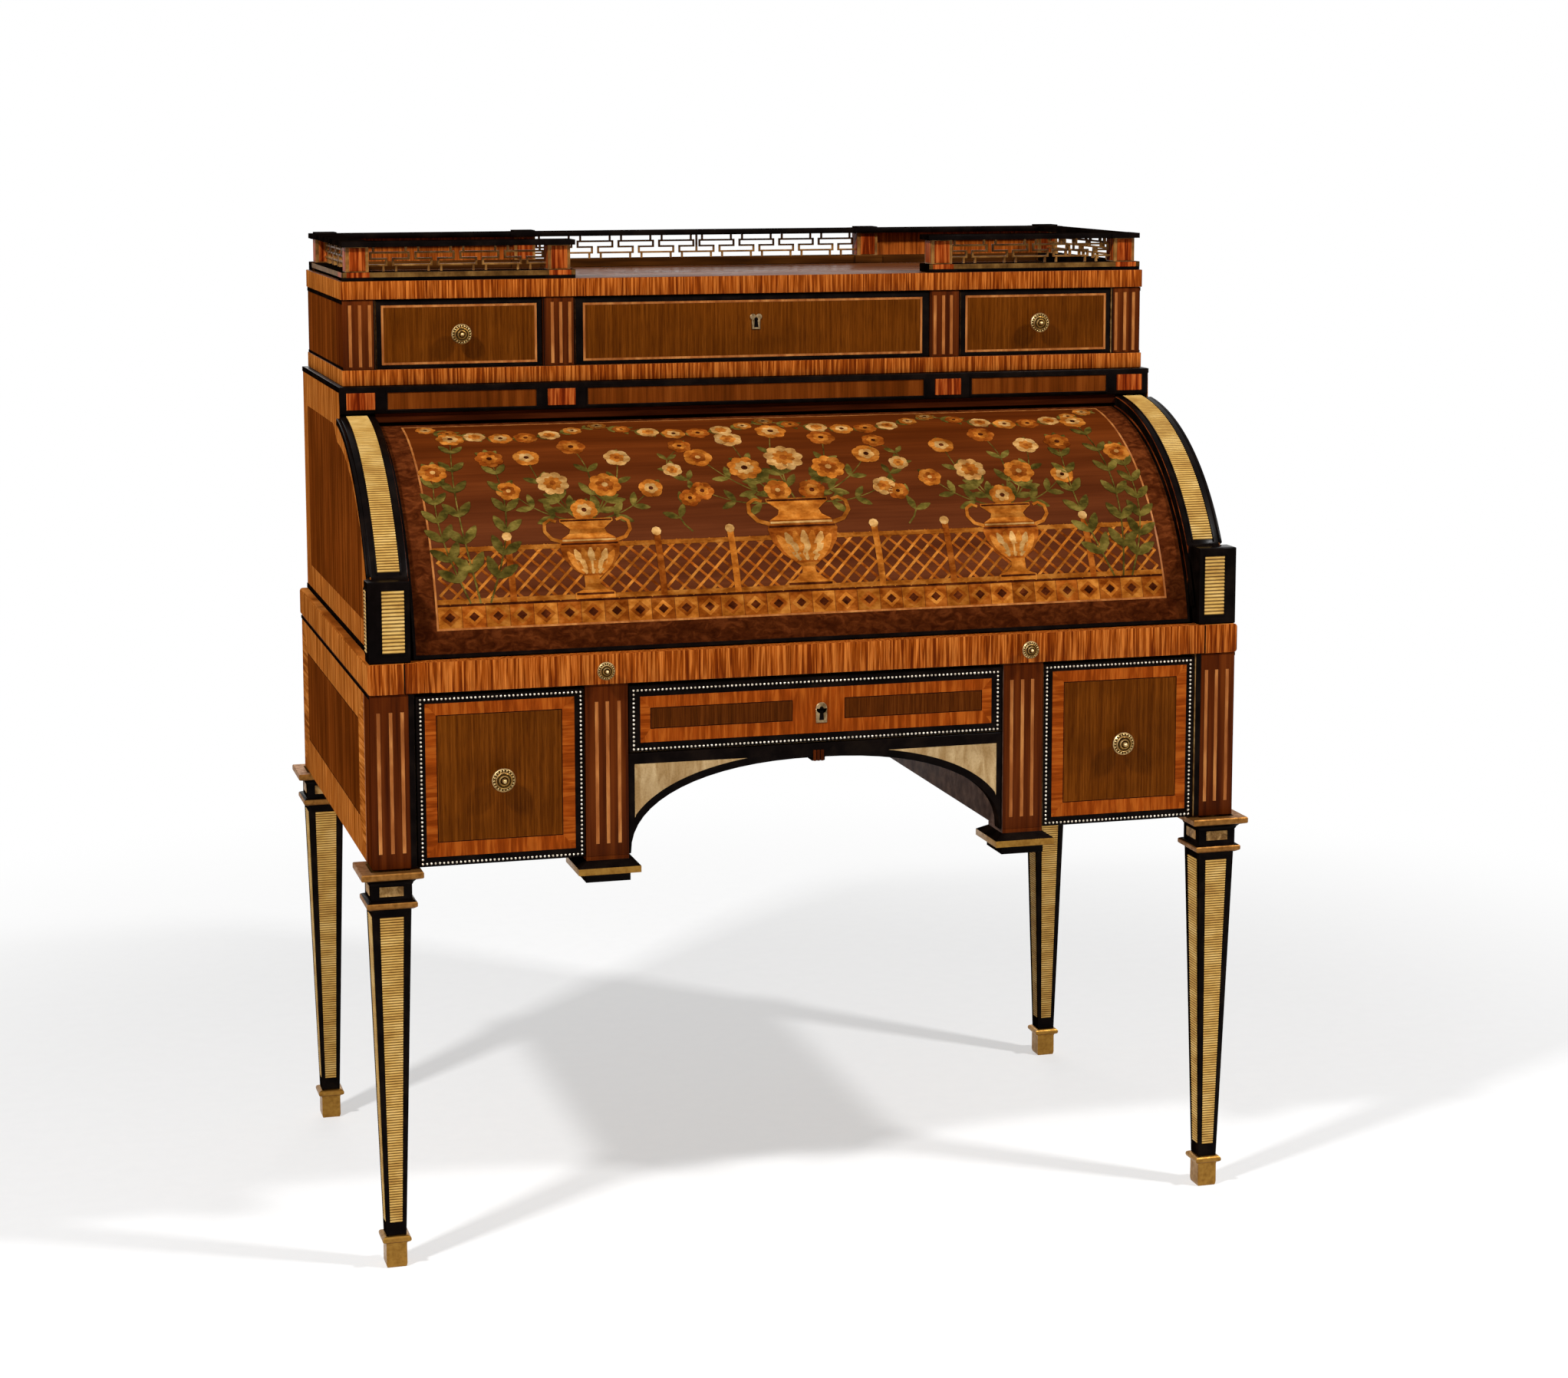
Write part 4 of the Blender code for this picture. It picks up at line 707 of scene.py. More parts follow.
# Turned knobs: a stem, a dished rosette with rings, and a ring of beads
knobs = dict(girth=0.95, beads=20, bead=0.072, beadRing=0.80, beadReach=0.665, nest=(0.006, 0.011), shape=[
    # radius, reach and how clean the brass is, in shares
    (0, 0.0, 0.3), (0.56, 0.0, 0.3), (0.56, 0.05, 0.5), (0.46, 0.10, 0.2), (0.40, 0.20, 0.3),
    (0.44, 0.32, 0.3), (0.62, 0.42, 0.4), (0.90, 0.48, 0.7), (0.98, 0.53, 0.9), (1.00, 0.59, 1),
    (0.97, 0.65, 1), (0.91, 0.68, 0.9), (0.86, 0.655, 0), (0.74, 0.655, 0), (0.70, 0.72, 1),
    (0.64, 0.77, 1), (0.58, 0.74, 0.6), (0.54, 0.68, 0), (0.48, 0.68, 0), (0.44, 0.78, 0.9),
    (0.37, 0.84, 1), (0.31, 0.80, 0.5), (0.27, 0.76, 0), (0.23, 0.80, 0.4), (0.18, 0.93, 1),
    (0.10, 0.99, 1), (0, 1.0, 1)])


def turnedKnob(name, place, radius, length, body, stands=()):
    bm = bmesh.new()
    clean = bm.verts.layers.float.new("groove")
    ring = []
    for r, along, wear in knobs["shape"]:
        ring.append(bm.verts.new((place.x + radius * r, place.y - length * along, place.z)))
        ring[-1][clean] = wear
    edges = [bm.edges.new(pair) for pair in zip(ring, ring[1:])]
    bmesh.ops.spin(bm, geom=ring + edges, cent=place, axis=(0, 1, 0), angle=2 * pi, steps=40, use_merge=True)
    settle(bm)
    out = knobs["beadRing"] * radius
    for i in range(knobs["beads"]):
        turn = 2 * pi * i / knobs["beads"]
        spot = place + Vector((out * cos(turn), -knobs["beadReach"] * length, out * sin(turn)))
        made = bmesh.ops.create_uvsphere(bm, u_segments=6, v_segments=4, radius=knobs["bead"] * radius,
                                         matrix=Matrix.Translation(spot))
        for vert in made["verts"]:
            vert[clean] = 1
    publish(name, bm, "knobBrass", 45, body, stands)


for kind, body in (("lower", "low_drawer_{}"), ("upper", "top_drawer_{}"), ("slide", "writing_slide")):
    for side, sign, tag in sides:
        node = f"{kind}_knob_{side}"
        low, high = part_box(node)
        turnedKnob(f"{kind}Knob{tag}", Vector(((low.x + high.x) / 2, high.y, (low.z + high.z) / 2)),
                   knobs["girth"] * (high.z - low.z) / 2, high.y - low.y, body.format(side), (node,))

# Key plates: a plate with round lobes and a keyhole of raised black ebony, painted shade where the hole would
# be
keyPlates = {"lowDrawerKeyPlate": dict(at=(0.0035, 0.655), half=0.0072, tall=0.0255, node="lower_drawer_centre",
                                       body="low_drawer_centre", lobes=((0.0, 0.0055, 0.0072),)),
             "upperDrawerKeyPlate": dict(at=(0.001, 1.1145), half=0.0056, tall=0.0185,
                                         node="upper_drawer_centre", body="top_drawer_centre",
                                         lobes=((-0.0040, 0.0068, 0.0040), (0.0040, 0.0068, 0.0040)))}
keyhole = dict(radius=0.0026, rise=0.2, drop=0.36, neck=0.0018, foot=0.0030, plate=(0.0003, 0.0017),
               eye=(0.00065, 0.00185), slot=(0.0008, 0.00185))


def discOf(plane, u, v, low, high, radius, segments):
    disc = bmesh.new()
    bmesh.ops.create_cone(disc, cap_ends=True, segments=segments, radius1=radius, radius2=radius,
                          depth=high - low, matrix=plane @ Matrix.Translation((u, v, (low + high) / 2)))
    return disc


for name, plate in keyPlates.items():
    face = facing("front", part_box(plate["node"])[0].y)
    (u, v), half, tall = plate["at"], plate["half"], plate["tall"]
    bm = bmesh.new()
    under, over = keyhole["plate"]
    slab(bm, face, (u - half, u + half, v - tall / 2, v + tall / 2 - half), over, 0, fineEase, under)
    for du, dv, radius in plate["lobes"]:
        disc = discOf(face, u + du, v + dv, under, over, radius, 28)
        easeEdges(disc, sharpEdges(disc, 60), fineEase, 1)
        gather(bm, disc, 0)
    eye, end = v + keyhole["rise"] * tall, v - keyhole["drop"] * tall
    # the keyhole's eye and slot are raised ebony: painted shade for the hole
    gather(bm, discOf(face, u, eye, *keyhole["eye"], keyhole["radius"], 20), 1)
    cutPiece(bm, face, [(u - keyhole["neck"], eye), (u + keyhole["neck"], eye), (u + keyhole["foot"], end),
                        (u - keyhole["foot"], end)], keyhole["slot"][1], 1, keyhole["slot"][0])
    bmesh.ops.recalc_face_normals(bm, faces=bm.faces)
    publish(name, bm, "plateBrass ebony", smooth=40, body=plate["body"])
print("knobs and key plates done")


# Writing slide and the band round it
def slideFinish(centre, normal):
    if abs(normal.x) > 0.5 and abs(centre.x) > 0.5:
        return 3
    if normal.z > 0.5 and centre.y > frontY + 0.01:
        return 1
    return 0 if centre.y < frontY + 0.022 else 2


easedCopy("slide", "writingSlide", "tulipUp writingWood caseOak ebony", postEase, slideFinish)
jointLine, jointProud = 0.0012, 0.0002
for side, sign, tag in sides:
    # the band's top faces take the lighter tulip copy: painted light on the tops
    easedCopy(f"band_{side}", f"band{tag}", "tulipUp ebony sideTulipFlat", boardEase,
              lambda centre, normal: 1 if normal.x * sign < -0.5 else 2 if normal.z > 0.5 else 0)
    low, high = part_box(f"band_{side}")
    joint = outerX((low, high), -sign)
    bm = bmesh.new()
    slab(bm, facing("front", low.y),
         (*sorted((joint, joint + sign * jointLine)), low.z + 0.0006, high.z - 0.0006), jointProud)
    publish(f"bandJoint{tag}", bm, "sideEbony")

# Pedestals: reeded panels in a black bead
pedestal = dict(panel=(0.5070, 0.5335), heights=(0.753, 0.828), reeds=17, relief=0.0011, margin=0.006,
                bead=0.0016, beadProud=0.0011)
for side, sign, tag in sides:
    low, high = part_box(f"pedestal_{side}")
    easedCopy(f"pedestal_{side}", f"pedestal{tag}", "ebony", roundEase)
    ends = flipped(side, low.y + pedestal["margin"], high.y - pedestal["margin"])
    panels = ((facing("front", low.y), mirrored(sign, *pedestal["panel"], *pedestal["heights"])),
              (facing(side, outerX((low, high), sign)), (*ends, *pedestal["heights"])))
    reeds, beads = bmesh.new(), bmesh.new()
    for plane, rect in panels:
        flatReeds(reeds, plane, rect, pedestal["reeds"], pedestal["relief"])
        lineFrame(beads, plane, inset(rect, -pedestal["bead"]), pedestal["bead"], pedestal["beadProud"])
    settle(reeds)
    publish(f"pedestalReeds{tag}", reeds, "maple", 50)
    publish(f"pedestalBeads{tag}", beads, "ebony")
print("slide and pedestals done")

# Cheeks: quarter-round ends with a reeded strip between black edges, and a veneered outer side
cheek = dict(strip=(0.5060, 0.5322), reeds=86, relief=0.0009, reedBase=0.0004, low=29.0, high=84.0,
             bead=(0.0004, 0.0020), beadThick=0.0013, beadFrom=0.6, edge=0.0046, edgeDepth=0.0090,
             edgeGap=0.0004, edgeFrom=0.3, edgeHigh=82.8, rim=0.3066, rimProud=0.0005, rimDrop=14,
             rimGap=0.0016)
cheekBand = dict(lineZ=0.7482, headZ=1.0370, arch=82.6, edge=0.0016, mould=0.0012, frontGap=0.0012,
                 backGap=0.003)
cheekField = dict(foot=0.7790, top=0.9940, back=0.2720, front=-0.2150, radius=0.2840, high=87.0,
                  shoulder=0.020, lift=(0.0002, 0.0007))
pivot = next(j for j in frame["joints"] if j["name"] == "cylinder_turn")["pos_m"]
axisY, axisZ = pivot[1], pivot[2]
cheekBox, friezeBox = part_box("cheek_right"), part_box("frieze")
cheekRadius, cheekFront = cheekBox[1].z - axisZ, cheekBox[0].y
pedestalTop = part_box("pedestal_right")[1].z
startAngle = degrees(asin((pedestalTop + 0.0003 - axisZ) / cheekRadius))


def onArc(x, radius, angle):
    return Vector((x, axisY - radius * cos(radians(angle)), axisZ + radius * sin(radians(angle))))


def arcPoints(radius, low, turn, steps):
    return [tuple(onArc(0, radius, low + turn * i / steps).yz) for i in range(steps + 1)]


# A bar bent round the cylinder's axis.
def arcBar(bm, x0, x1, radius, low, high, thick, steps, finish=0, ease=0.0):
    bar = unitBar(steps)
    for vert in bar.verts:
        u, v, t = vert.co
        vert.co = onArc(x0 + (x1 - x0) * u, radius + t * thick, low + (high - low) * v)
    if ease:
        easeEdges(bar, sharpEdges(bar, 60), ease)
    gather(bm, bar, finish)


def cheekVeneer(bm, side, sign, low, high):
    plane = facing(side, outerX((low, high), sign))
    front, back = cheekFront + cheekBand["frontGap"], backY - cheekBand["backGap"]
    top, under, over = cheekField["top"], *cheekField["lift"]
    outer = [(front, cheekBand["lineZ"]), (front, pedestalTop - 0.001)]
    outer += arcPoints(cheekRadius - cheekBand["edge"], startAngle + 0.5, cheekBand["arch"] - startAngle, 40)
    outer += [(friezeBox[0].y + 0.001, cheekBand["headZ"]), (back, cheekBand["headZ"]),
              (back, cheekBand["lineZ"])]
    start = degrees(acos(-cheekField["front"] / cheekField["radius"]))
    inner = [(cheekField["front"], cheekField["foot"])]
    inner += [(y, z) for y, z in arcPoints(cheekField["radius"], start, cheekField["high"] - start, 24)
              if z < top - 0.002]
    inner += [(cheekField["shoulder"], top), (cheekField["back"], top),
              (cheekField["back"], cheekField["foot"])]
    cutPiece(bm, plane, [(sign * y, z) for y, z in outer], veneerProud, 0, -deepIn)
    cutPiece(bm, plane, [(sign * y, z) for y, z in inner], over, 1, under)
    for y, foot, head in ((cheekFront + 0.001, low.z, cheekBand["lineZ"] - 0.0004),
                          (friezeBox[0].y + 0.0005, cheekBand["headZ"] + 0.0004, friezeBox[1].z - 0.0002)):
        rect = (*flipped(side, y, backY - 0.001), foot, head)
        slab(bm, plane, rect, cheekBand["mould"], 2, fineEase, -deepIn)


for side, sign, tag in sides:
    low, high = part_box(f"cheek_{side}")
    outline = [(cheekFront, low.z), (cheekFront, pedestalTop)]
    outline += arcPoints(cheekRadius, startAngle, 90 - startAngle, 56) + [(backY, high.z), (backY, low.z)]
    bm = bmesh.new()
    cutPiece(bm, facing("right", low.x), outline, high.x - low.x, low=0.0)
    settle(bm)
    for face in bm.faces:
        face.material_index = innerSide(sign)(None, face.normal)
    easeEdges(bm, sharpEdges(bm, 50), roundEase)
    publish(f"cheek{tag}", bm, "ebony nestWood", 30, stands=(f"cheek_{side}",))
    x0, x1 = mirrored(sign, *cheek["strip"])

    def place(u, v, t, rib):
        angle = cheek["low"] + (cheek["high"] - cheek["low"]) * v
        rise = t * (cheek["reedBase"] + cheek["relief"] * rib)
        return onArc(x0 + (x1 - x0) * u, cheekRadius - letIn + rise, angle)
    bm = bmesh.new()
    reedBar(bm, cheek["reeds"], place)
    settle(bm)
    publish(f"cheekReeds{tag}", bm, "maple", 50)
    bm = bmesh.new()
    near, far = cheek["bead"]
    for ends in ((x0 - far, x0 - near), (x1 + near, x1 + far)):
        arcBar(bm, *ends, cheekRadius - letIn, startAngle + cheek["beadFrom"], cheek["high"],
               cheek["beadThick"], 48, 0, crispEase)
    outside = low.x - cheek["edge"] if sign < 0 else high.x
    arcBar(bm, outside, outside + cheek["edge"], cheekRadius - cheek["edgeDepth"],
           startAngle + cheek["edgeFrom"], cheek["edgeHigh"], cheek["edgeDepth"] - cheek["edgeGap"], 48, 0,
           softEase)
    inside = high.x - letIn if sign < 0 else low.x - cheek["rimProud"]
    arcBar(bm, inside, inside + cheek["rimProud"] + letIn, cheek["rim"], startAngle - cheek["rimDrop"], 90,
           cheekRadius - cheek["rim"] - cheek["rimGap"], 56)
    settle(bm)
    publish(f"cheekBeads{tag}", bm, "ebony", smooth=30)
    bm = bmesh.new()
    cheekVeneer(bm, side, sign, low, high)
    settle(bm)
    publish(f"cheekVeneer{tag}", bm, "sideTulip sideWalnut sideEbony")
print("cheeks done")

# Frieze and upper case
frieze = dict(blocks=((0.4960, 0.5318), (0.2408, 0.2765)), panel=(0.2913, 0.4805), centre=0.2248,
              heights=(1.0150, 1.0362), blockProud=0.0008, bead=0.002, beadProud=0.0012, railTop=1.0085)
upperPost = dict(stripes=(0.4990, 0.5114, 0.5237, 0.2444, 0.2561, 0.2669), width=0.0040, foot=1.0677,
                 top=1.1449, blackLines=((0.4928, 0.4942), (0.2385, 0.2394), (0.2776, 0.2787)))
upperSide = dict(front=0.031, foot=0.003, top=1.1460, mould=(0.0028, 1.1464))
# faces below railTop take the darkened rail wood: painted shade under the frieze
easedCopy("frieze", "frieze", "ebony railWood", softEase,
          lambda centre, normal: 1 if centre.z < frieze["railTop"] else 0)
face = facing("front", friezeBox[0].y)
centrePanel = (-frieze["centre"], frieze["centre"], *frieze["heights"])
panels, beads = bmesh.new(), bmesh.new()
for side, sign, tag in sides:
    for block in frieze["blocks"]:
        rect = mirrored(sign, *block, *frieze["heights"])
        slab(panels, face, rect, frieze["blockProud"], 0, thinEase, -deepIn)
    rects = [mirrored(sign, *frieze["panel"], *frieze["heights"])] + ([centrePanel] if sign > 0 else [])
    for rect in rects:
        slab(panels, face, rect, thinProud, 1, low=-deepIn)
        lineFrame(beads, face, inset(rect, -frieze["bead"]), frieze["bead"], frieze["beadProud"], low=-deepIn)
# the frieze panels take the lighter walnut copy: painted light against the shade under the lower band
publish("friezeVeneer", panels, "redTulip sideWalnut")
publish("friezeBeads", beads, "ebony")

for node, name in (("lower_band", "lowerBand"), ("cornice", "cornice")):
    easedCopy(node, name, "tulipUp topWood", postEase,
              lambda centre, normal: 1 if abs(normal.z) > 0.5 else 0)
upperLow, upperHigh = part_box("upper_side_right")
face = facing("front", upperLow.y)
bm = bmesh.new()
for side, sign, tag in sides:
    easedCopy(f"upper_side_{side}", f"upperPost{tag}", "pilasterWood caseOak",
              pick=innerSide(sign))
    easedCopy(f"upper_divider_{side}", f"upperDivider{tag}", "pilasterWood caseOak",
              pick=behind(upperLow.y + frontThick))
    for u in upperPost["stripes"]:
        stripe(bm, face, sign * u, upperPost["width"], upperPost["foot"], upperPost["top"])
    for line in upperPost["blackLines"]:
        slab(bm, face, mirrored(sign, *line, upperLow.z, upperHigh.z), thinProud, 1)
publish("upperStripes", bm, "stringing ebony")
for side, sign, tag in sides:
    plane = facing(side, sign * upperHigh.x)
    ends = flipped(side, upperLow.y + 0.001, upperHigh.y - 0.0008)
    bm = bmesh.new()
    slab(bm, plane, (*flipped(side, upperSide["front"], upperHigh.y - 0.0015), upperLow.z + upperSide["foot"],
                     upperSide["top"]), veneerProud)
    slab(bm, plane, (*ends, upperSide["mould"][1], upperHigh.z - 0.0002), mouldProud, 1)
    slab(bm, plane, (*ends, upperLow.z, upperLow.z + upperSide["mould"][0]), mouldProud, 1)
    publish(f"upperSideVeneer{tag}", bm, "sideWalnut sideEbony")
print("upper case done")

# Gallery: black rails, frets between them, red inlay on the posts
gallery = dict(plinth=1.1857, cap=1.2168, post=0.0285, postBack=0.0055, inset=0.0205, margin=0.0012,
               base=0.0042, frontPost=0.285, rearPost=0.2435, railEnd=0.005, panel=(0.2600, 0.4960),
               rearFrom=0.25)
galleryLow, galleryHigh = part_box("gallery_right")


def galleryFinish(centre, normal):
    rear = centre.y > gallery["rearFrom"]
    if centre.z < gallery["plinth"] + 0.0002 or centre.z > gallery["cap"] - 0.0002:
        if rear and centre.z < gallery["cap"] and (normal.y < -0.5 or normal.z > 0.5):
            return 5
        return 4 if normal.z > 0.5 else 0
    if rear and gallery["panel"][0] < abs(centre.x) < gallery["panel"][1] and abs(normal.y) > 0.5:
        return 2 if normal.y > 0 else 3
    return 1


for part in ("Rear", "Left", "Right"):
    easedCopy(f"gallery_{part.lower()}", f"gallery{part}",
              "ebony fretWood tulipUp innerTulip sideEbony plinthWood", fineEase, galleryFinish)
post, gap = gallery["post"], (gallery["post"] - gallery["inset"]) / 2
frontPostY = galleryLow.y + gallery["postBack"]
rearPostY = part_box("gallery_rear")[1].y - gallery["postBack"] - post
outX = galleryHigh.x - gallery["postBack"]
spots = [(outX - post, frontPostY), (outX - gallery["frontPost"], frontPostY), (outX - post, rearPostY),
         (gallery["rearPost"] - post / 2, rearPostY)]
heights = (gallery["plinth"] + gallery["margin"], gallery["cap"] - gallery["margin"])
bm = bmesh.new()
for side, sign, tag in sides:
    for x, y in spots:
        x0, x1 = mirrored(sign, x, x + post)
        for way, at, a, b in (("front", y, x0, x1), ("back", y + post, x0, x1), ("left", x0, y, y + post),
                              ("right", x1, y, y + post)):
            slab(bm, facing(way, at), (*flipped(way, a + gap, b - gap), *heights), bandProud)
publish("galleryPostInlay", bm, "redTulip")
heights = (galleryLow.z + gallery["base"], gallery["plinth"] - 0.0003)
front = facing("front", galleryLow.y)
bm = bmesh.new()
for side, sign, tag in sides:
    rail = (outX - gallery["frontPost"] - gallery["railEnd"], galleryHigh.x - 0.0006)
    slab(bm, front, mirrored(sign, *rail, *heights), thinProud)
    for x, y in spots[:2]:
        slab(bm, front, mirrored(sign, x, x + post, *heights), bandProud, 1)
    plane = facing(side, sign * galleryHigh.x)
    slab(bm, plane, (*flipped(side, galleryLow.y + 0.0006, galleryHigh.y), *heights), thinProud)
    slab(bm, plane, (*flipped(side, frontPostY, frontPostY + post), *heights), bandProud, 1)
publish("galleryPlinthVeneer", bm, "fretShade redTulip")
print("gallery done")

# Nest behind the cylinder
nestDrawer = dict(front=0.0045, margin=0.006, band=0.008, fieldProud=0.0002)
easedCopy("nest", "pigeonholes", "nestWood", crispEase)
for i, place in enumerate(("left", "middle", "right"), 1):
    tag, body, node = place.capitalize(), f"nest_drawer_{place}", f"nest_drawer_{i}"
    low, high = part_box(node)
    easedCopy(node, f"nestDrawer{tag}", "nestWood caseOak", crispEase,
              behind(low.y + nestDrawer["front"]))
    face = facing("front", low.y)
    rect = inset((low.x, high.x, low.z, high.z), nestDrawer["margin"])
    bm = bmesh.new()
    mitredFrame(bm, face, rect, inset(rect, nestDrawer["band"]), thinProud)
    slab(bm, face, inset(rect, nestDrawer["band"]), nestDrawer["fieldProud"], 2)
    settle(bm)
    publish(f"nestDrawerVeneer{tag}", bm, "tulipUp tulipFlat walnutUp", body=body)
    middle = Vector(((low.x + high.x) / 2, low.y, (low.z + high.z) / 2))
    turnedKnob(f"nestKnob{tag}", middle, *knobs["nest"], body)
print("nest done")

# Cylinder: a shell turned about the pivot, burr border, ground veneer, light lines
cylinder = dict(edgeHeight=0.0525, topAngle=92.0, line=0.0024, lineProud=0.0006, lip=0.85, endStrip=0.0030,
                endTop=91.0, blackProud=0.0008, groundProud=0.0003, endGap=0.0004)
shellRadius, shellBore, shellHalf = 0.305, 0.289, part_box("cylinder")[1].x
fieldHalf, fieldLow, fieldHigh = 0.4625, 16.4, 81.5
edgeAngle, boreAngle = (degrees(asin(cylinder["edgeHeight"] / radius)) for radius in (shellRadius, shellBore))
bm = bmesh.new()
lip = bm.faces.new([bm.verts.new(onArc(*spot)) for spot in (
    (-shellHalf, shellRadius, edgeAngle), (shellHalf, shellRadius, edgeAngle),
    (shellHalf, shellBore, boreAngle), (-shellHalf, shellBore, boreAngle))])
bmesh.ops.spin(bm, geom=[lip, *lip.edges, *lip.verts], cent=(0, axisY, axisZ), axis=(1, 0, 0),
               angle=-radians(cylinder["topAngle"] - edgeAngle), steps=84)
settle(bm)
for face in bm.faces:
    middle = face.calc_center_median()
    reach = ((middle.y - axisY) ** 2 + (middle.z - axisZ) ** 2) ** 0.5
    face.material_index = 0 if reach > shellRadius - 0.002 else 1
publish("cylinderShell", bm, "burr nestWood", 30, "cylinder_fall", ("cylinder",))

seat = shellRadius - letIn
line, lineTurn = cylinder["line"], degrees(cylinder["line"] / shellRadius)
lipAngle = edgeAngle + cylinder["lip"]
bm = bmesh.new()
arcBar(bm, -fieldHalf, fieldHalf, seat, fieldLow, fieldHigh, cylinder["groundProud"], 90)
lipEnd = shellHalf - cylinder["endGap"]
arcBar(bm, -lipEnd, lipEnd, seat, edgeAngle + 0.02, lipAngle, cylinder["blackProud"], 3, 2)
for low, high in ((fieldLow - lineTurn, fieldLow), (fieldHigh, fieldHigh + lineTurn)):
    arcBar(bm, -fieldHalf - line, fieldHalf + line, seat, low, high, cylinder["lineProud"], 2, 1)
for side, sign, tag in sides:
    ends = mirrored(sign, fieldHalf, fieldHalf + line)
    arcBar(bm, *ends, seat, fieldLow, fieldHigh, cylinder["lineProud"], 90, 1)
    # black strips along the cylinder's ends: partly the cheeks' black edge, partly painted shade that the
    # cheeks cast there
    ends = mirrored(sign, shellHalf - cylinder["endStrip"], shellHalf - 0.0002)
    arcBar(bm, *ends, seat, lipAngle, cylinder["endTop"], cylinder["blackProud"], 84, 2)
settle(bm)
publish("cylinderVeneer", bm, "cylinderGround stringing ebony", 30, "cylinder_fall")
print("cylinder done")

# Marquetry: drawn flat in x and arc length, cut into strips and laid round the cylinder
marquetry = dict(base=0.0003, layer=0.00015, cut=0.011, sink=0.0002, stem=0.0022, bunchLeaf=0.0280)
box, satin, green, holly, rose = range(5)


def lift(bm, faces, layer, finish):  # gives flat inlay its thickness
    grown = bmesh.ops.extrude_face_region(bm, geom=faces)["geom"]
    tops = [g for g in grown if isinstance(g, bmesh.types.BMVert)]
    height = marquetry["sink"] + marquetry["base"] + layer * marquetry["layer"]
    bmesh.ops.translate(bm, verts=tops, vec=(0, 0, height))
    for part in {f for v in tops for f in v.link_faces} | set(faces):
        part.material_index = finish


def shapeOf(bm, outline, layer, finish):
    face = bm.faces.new([bm.verts.new((x, s, -marquetry["sink"])) for x, s in outline])
    lift(bm, [face], layer, finish)


def barOf(bm, x, s, width, height, layer, finish):
    shapeOf(bm, [(x, s), (x + width, s), (x + width, s + height), (x, s + height)], layer, finish)


def leafOf(bm, root, turn, length, width, layer, finish, point=0.55):
    made = bmesh.ops.create_circle(bm, cap_ends=True, segments=10, radius=0.5)["verts"]
    place = Matrix.Translation((*root, -marquetry["sink"])) @ Matrix.Rotation(turn, 4, "Z")
    for vert in made:
        taper = 1 - point * (2 * vert.co.x) ** 2
        vert.co = place @ Vector((length * (vert.co.x + 0.5), width * vert.co.y * taper, 0))
    lift(bm, [made[0].link_faces[0]], layer, finish)


def dotOf(bm, spot, radius, layer, finish):
    made = bmesh.ops.create_circle(bm, cap_ends=True, segments=8, radius=radius,
                                   matrix=Matrix.Translation((*spot, -marquetry["sink"])))["verts"]
    lift(bm, [made[0].link_faces[0]], layer, finish)


# A bent stem: a short edge drawn out along the points, growing thinner.
def stemOf(bm, points, width, layer, finish, thin=0.45):
    last = len(points) - 1
    rows = []
    for i, (x, s) in enumerate(points):
        way = (Vector(points[min(i + 1, last)]) - Vector(points[max(i - 1, 0)])).normalized()
        half = width / 2 * (1 - (1 - thin) * i / last)
        rows.append([Vector((x - hand * way.y * half, s + hand * way.x * half, -marquetry["sink"]))
                     for hand in (1, -1)])
    near = [bm.verts.new(spot) for spot in rows[0]]
    edge = bm.edges.new(near)
    faces = []
    for row in rows[1:]:
        grown = bmesh.ops.extrude_edge_only(bm, edges=[edge])["geom"]
        fresh = [g for g in grown if isinstance(g, bmesh.types.BMVert)]
        fresh.sort(key=lambda v: (v.co - near[0].co).length)
        faces += [g for g in grown if isinstance(g, bmesh.types.BMFace)]
        for vert, spot in zip(fresh, row):
            vert.co = spot
        edge = bm.edges.get(fresh)
        near = fresh
    lift(bm, faces, layer, finish)


def bowOf(start, end, bow, steps):  # a bowed line from start to end
    a, b = Vector(start), Vector(end)
    out = Vector((a.y - b.y, b.x - a.x)) * bow
    return [tuple(a.lerp(b, i / steps) + out * sin(pi * i / steps)) for i in range(steps + 1)]


def headingOf(first, second):
    return atan2(second[1] - first[1], second[0] - first[0])


# Two rings of petals round a dot. A ring: its turn, inset, length, width and how pointed its petals are.
petalRings = ((0.0, 0.18, 0.86, 2.05, 0.18), (0.5, 0.08, 0.52, 1.05, 0.3))


def blossom(bm, spot, radius, petals, colours, layer, turn=0.0):
    head = bmesh.new()
    for step, (shift, gap, length, width, point) in enumerate(petalRings):
        for i in range(petals):
            angle = turn + 2 * pi * (i + shift) / petals
            root = (spot[0] + gap * radius * cos(angle), spot[1] + gap * radius * sin(angle))
            leafOf(head, root, angle, length * radius, width * radius * sin(pi / petals), layer + step,
                   colours[step], point)
    dotOf(head, spot, 0.2 * radius, layer + 2, colours[2])
    gather(bm, head)


def sprig(bm, points, leaf, layer, spacing=2, lean=0.75):
    twig = bmesh.new()
    stemOf(twig, points, marquetry["stem"], layer, green)
    for i in range(spacing, len(points), spacing):
        angle = headingOf(points[i - 1], points[i])
        share = leaf * (1 - 0.35 * i / len(points))
        for hand in (-1, 1):
            leafOf(twig, points[i], angle + hand * lean, share, share * 0.42, layer, green)
    leafOf(twig, points[-1], headingOf(points[-2], points[-1]), leaf * 0.7, leaf * 0.3, layer, green)
    gather(bm, twig)


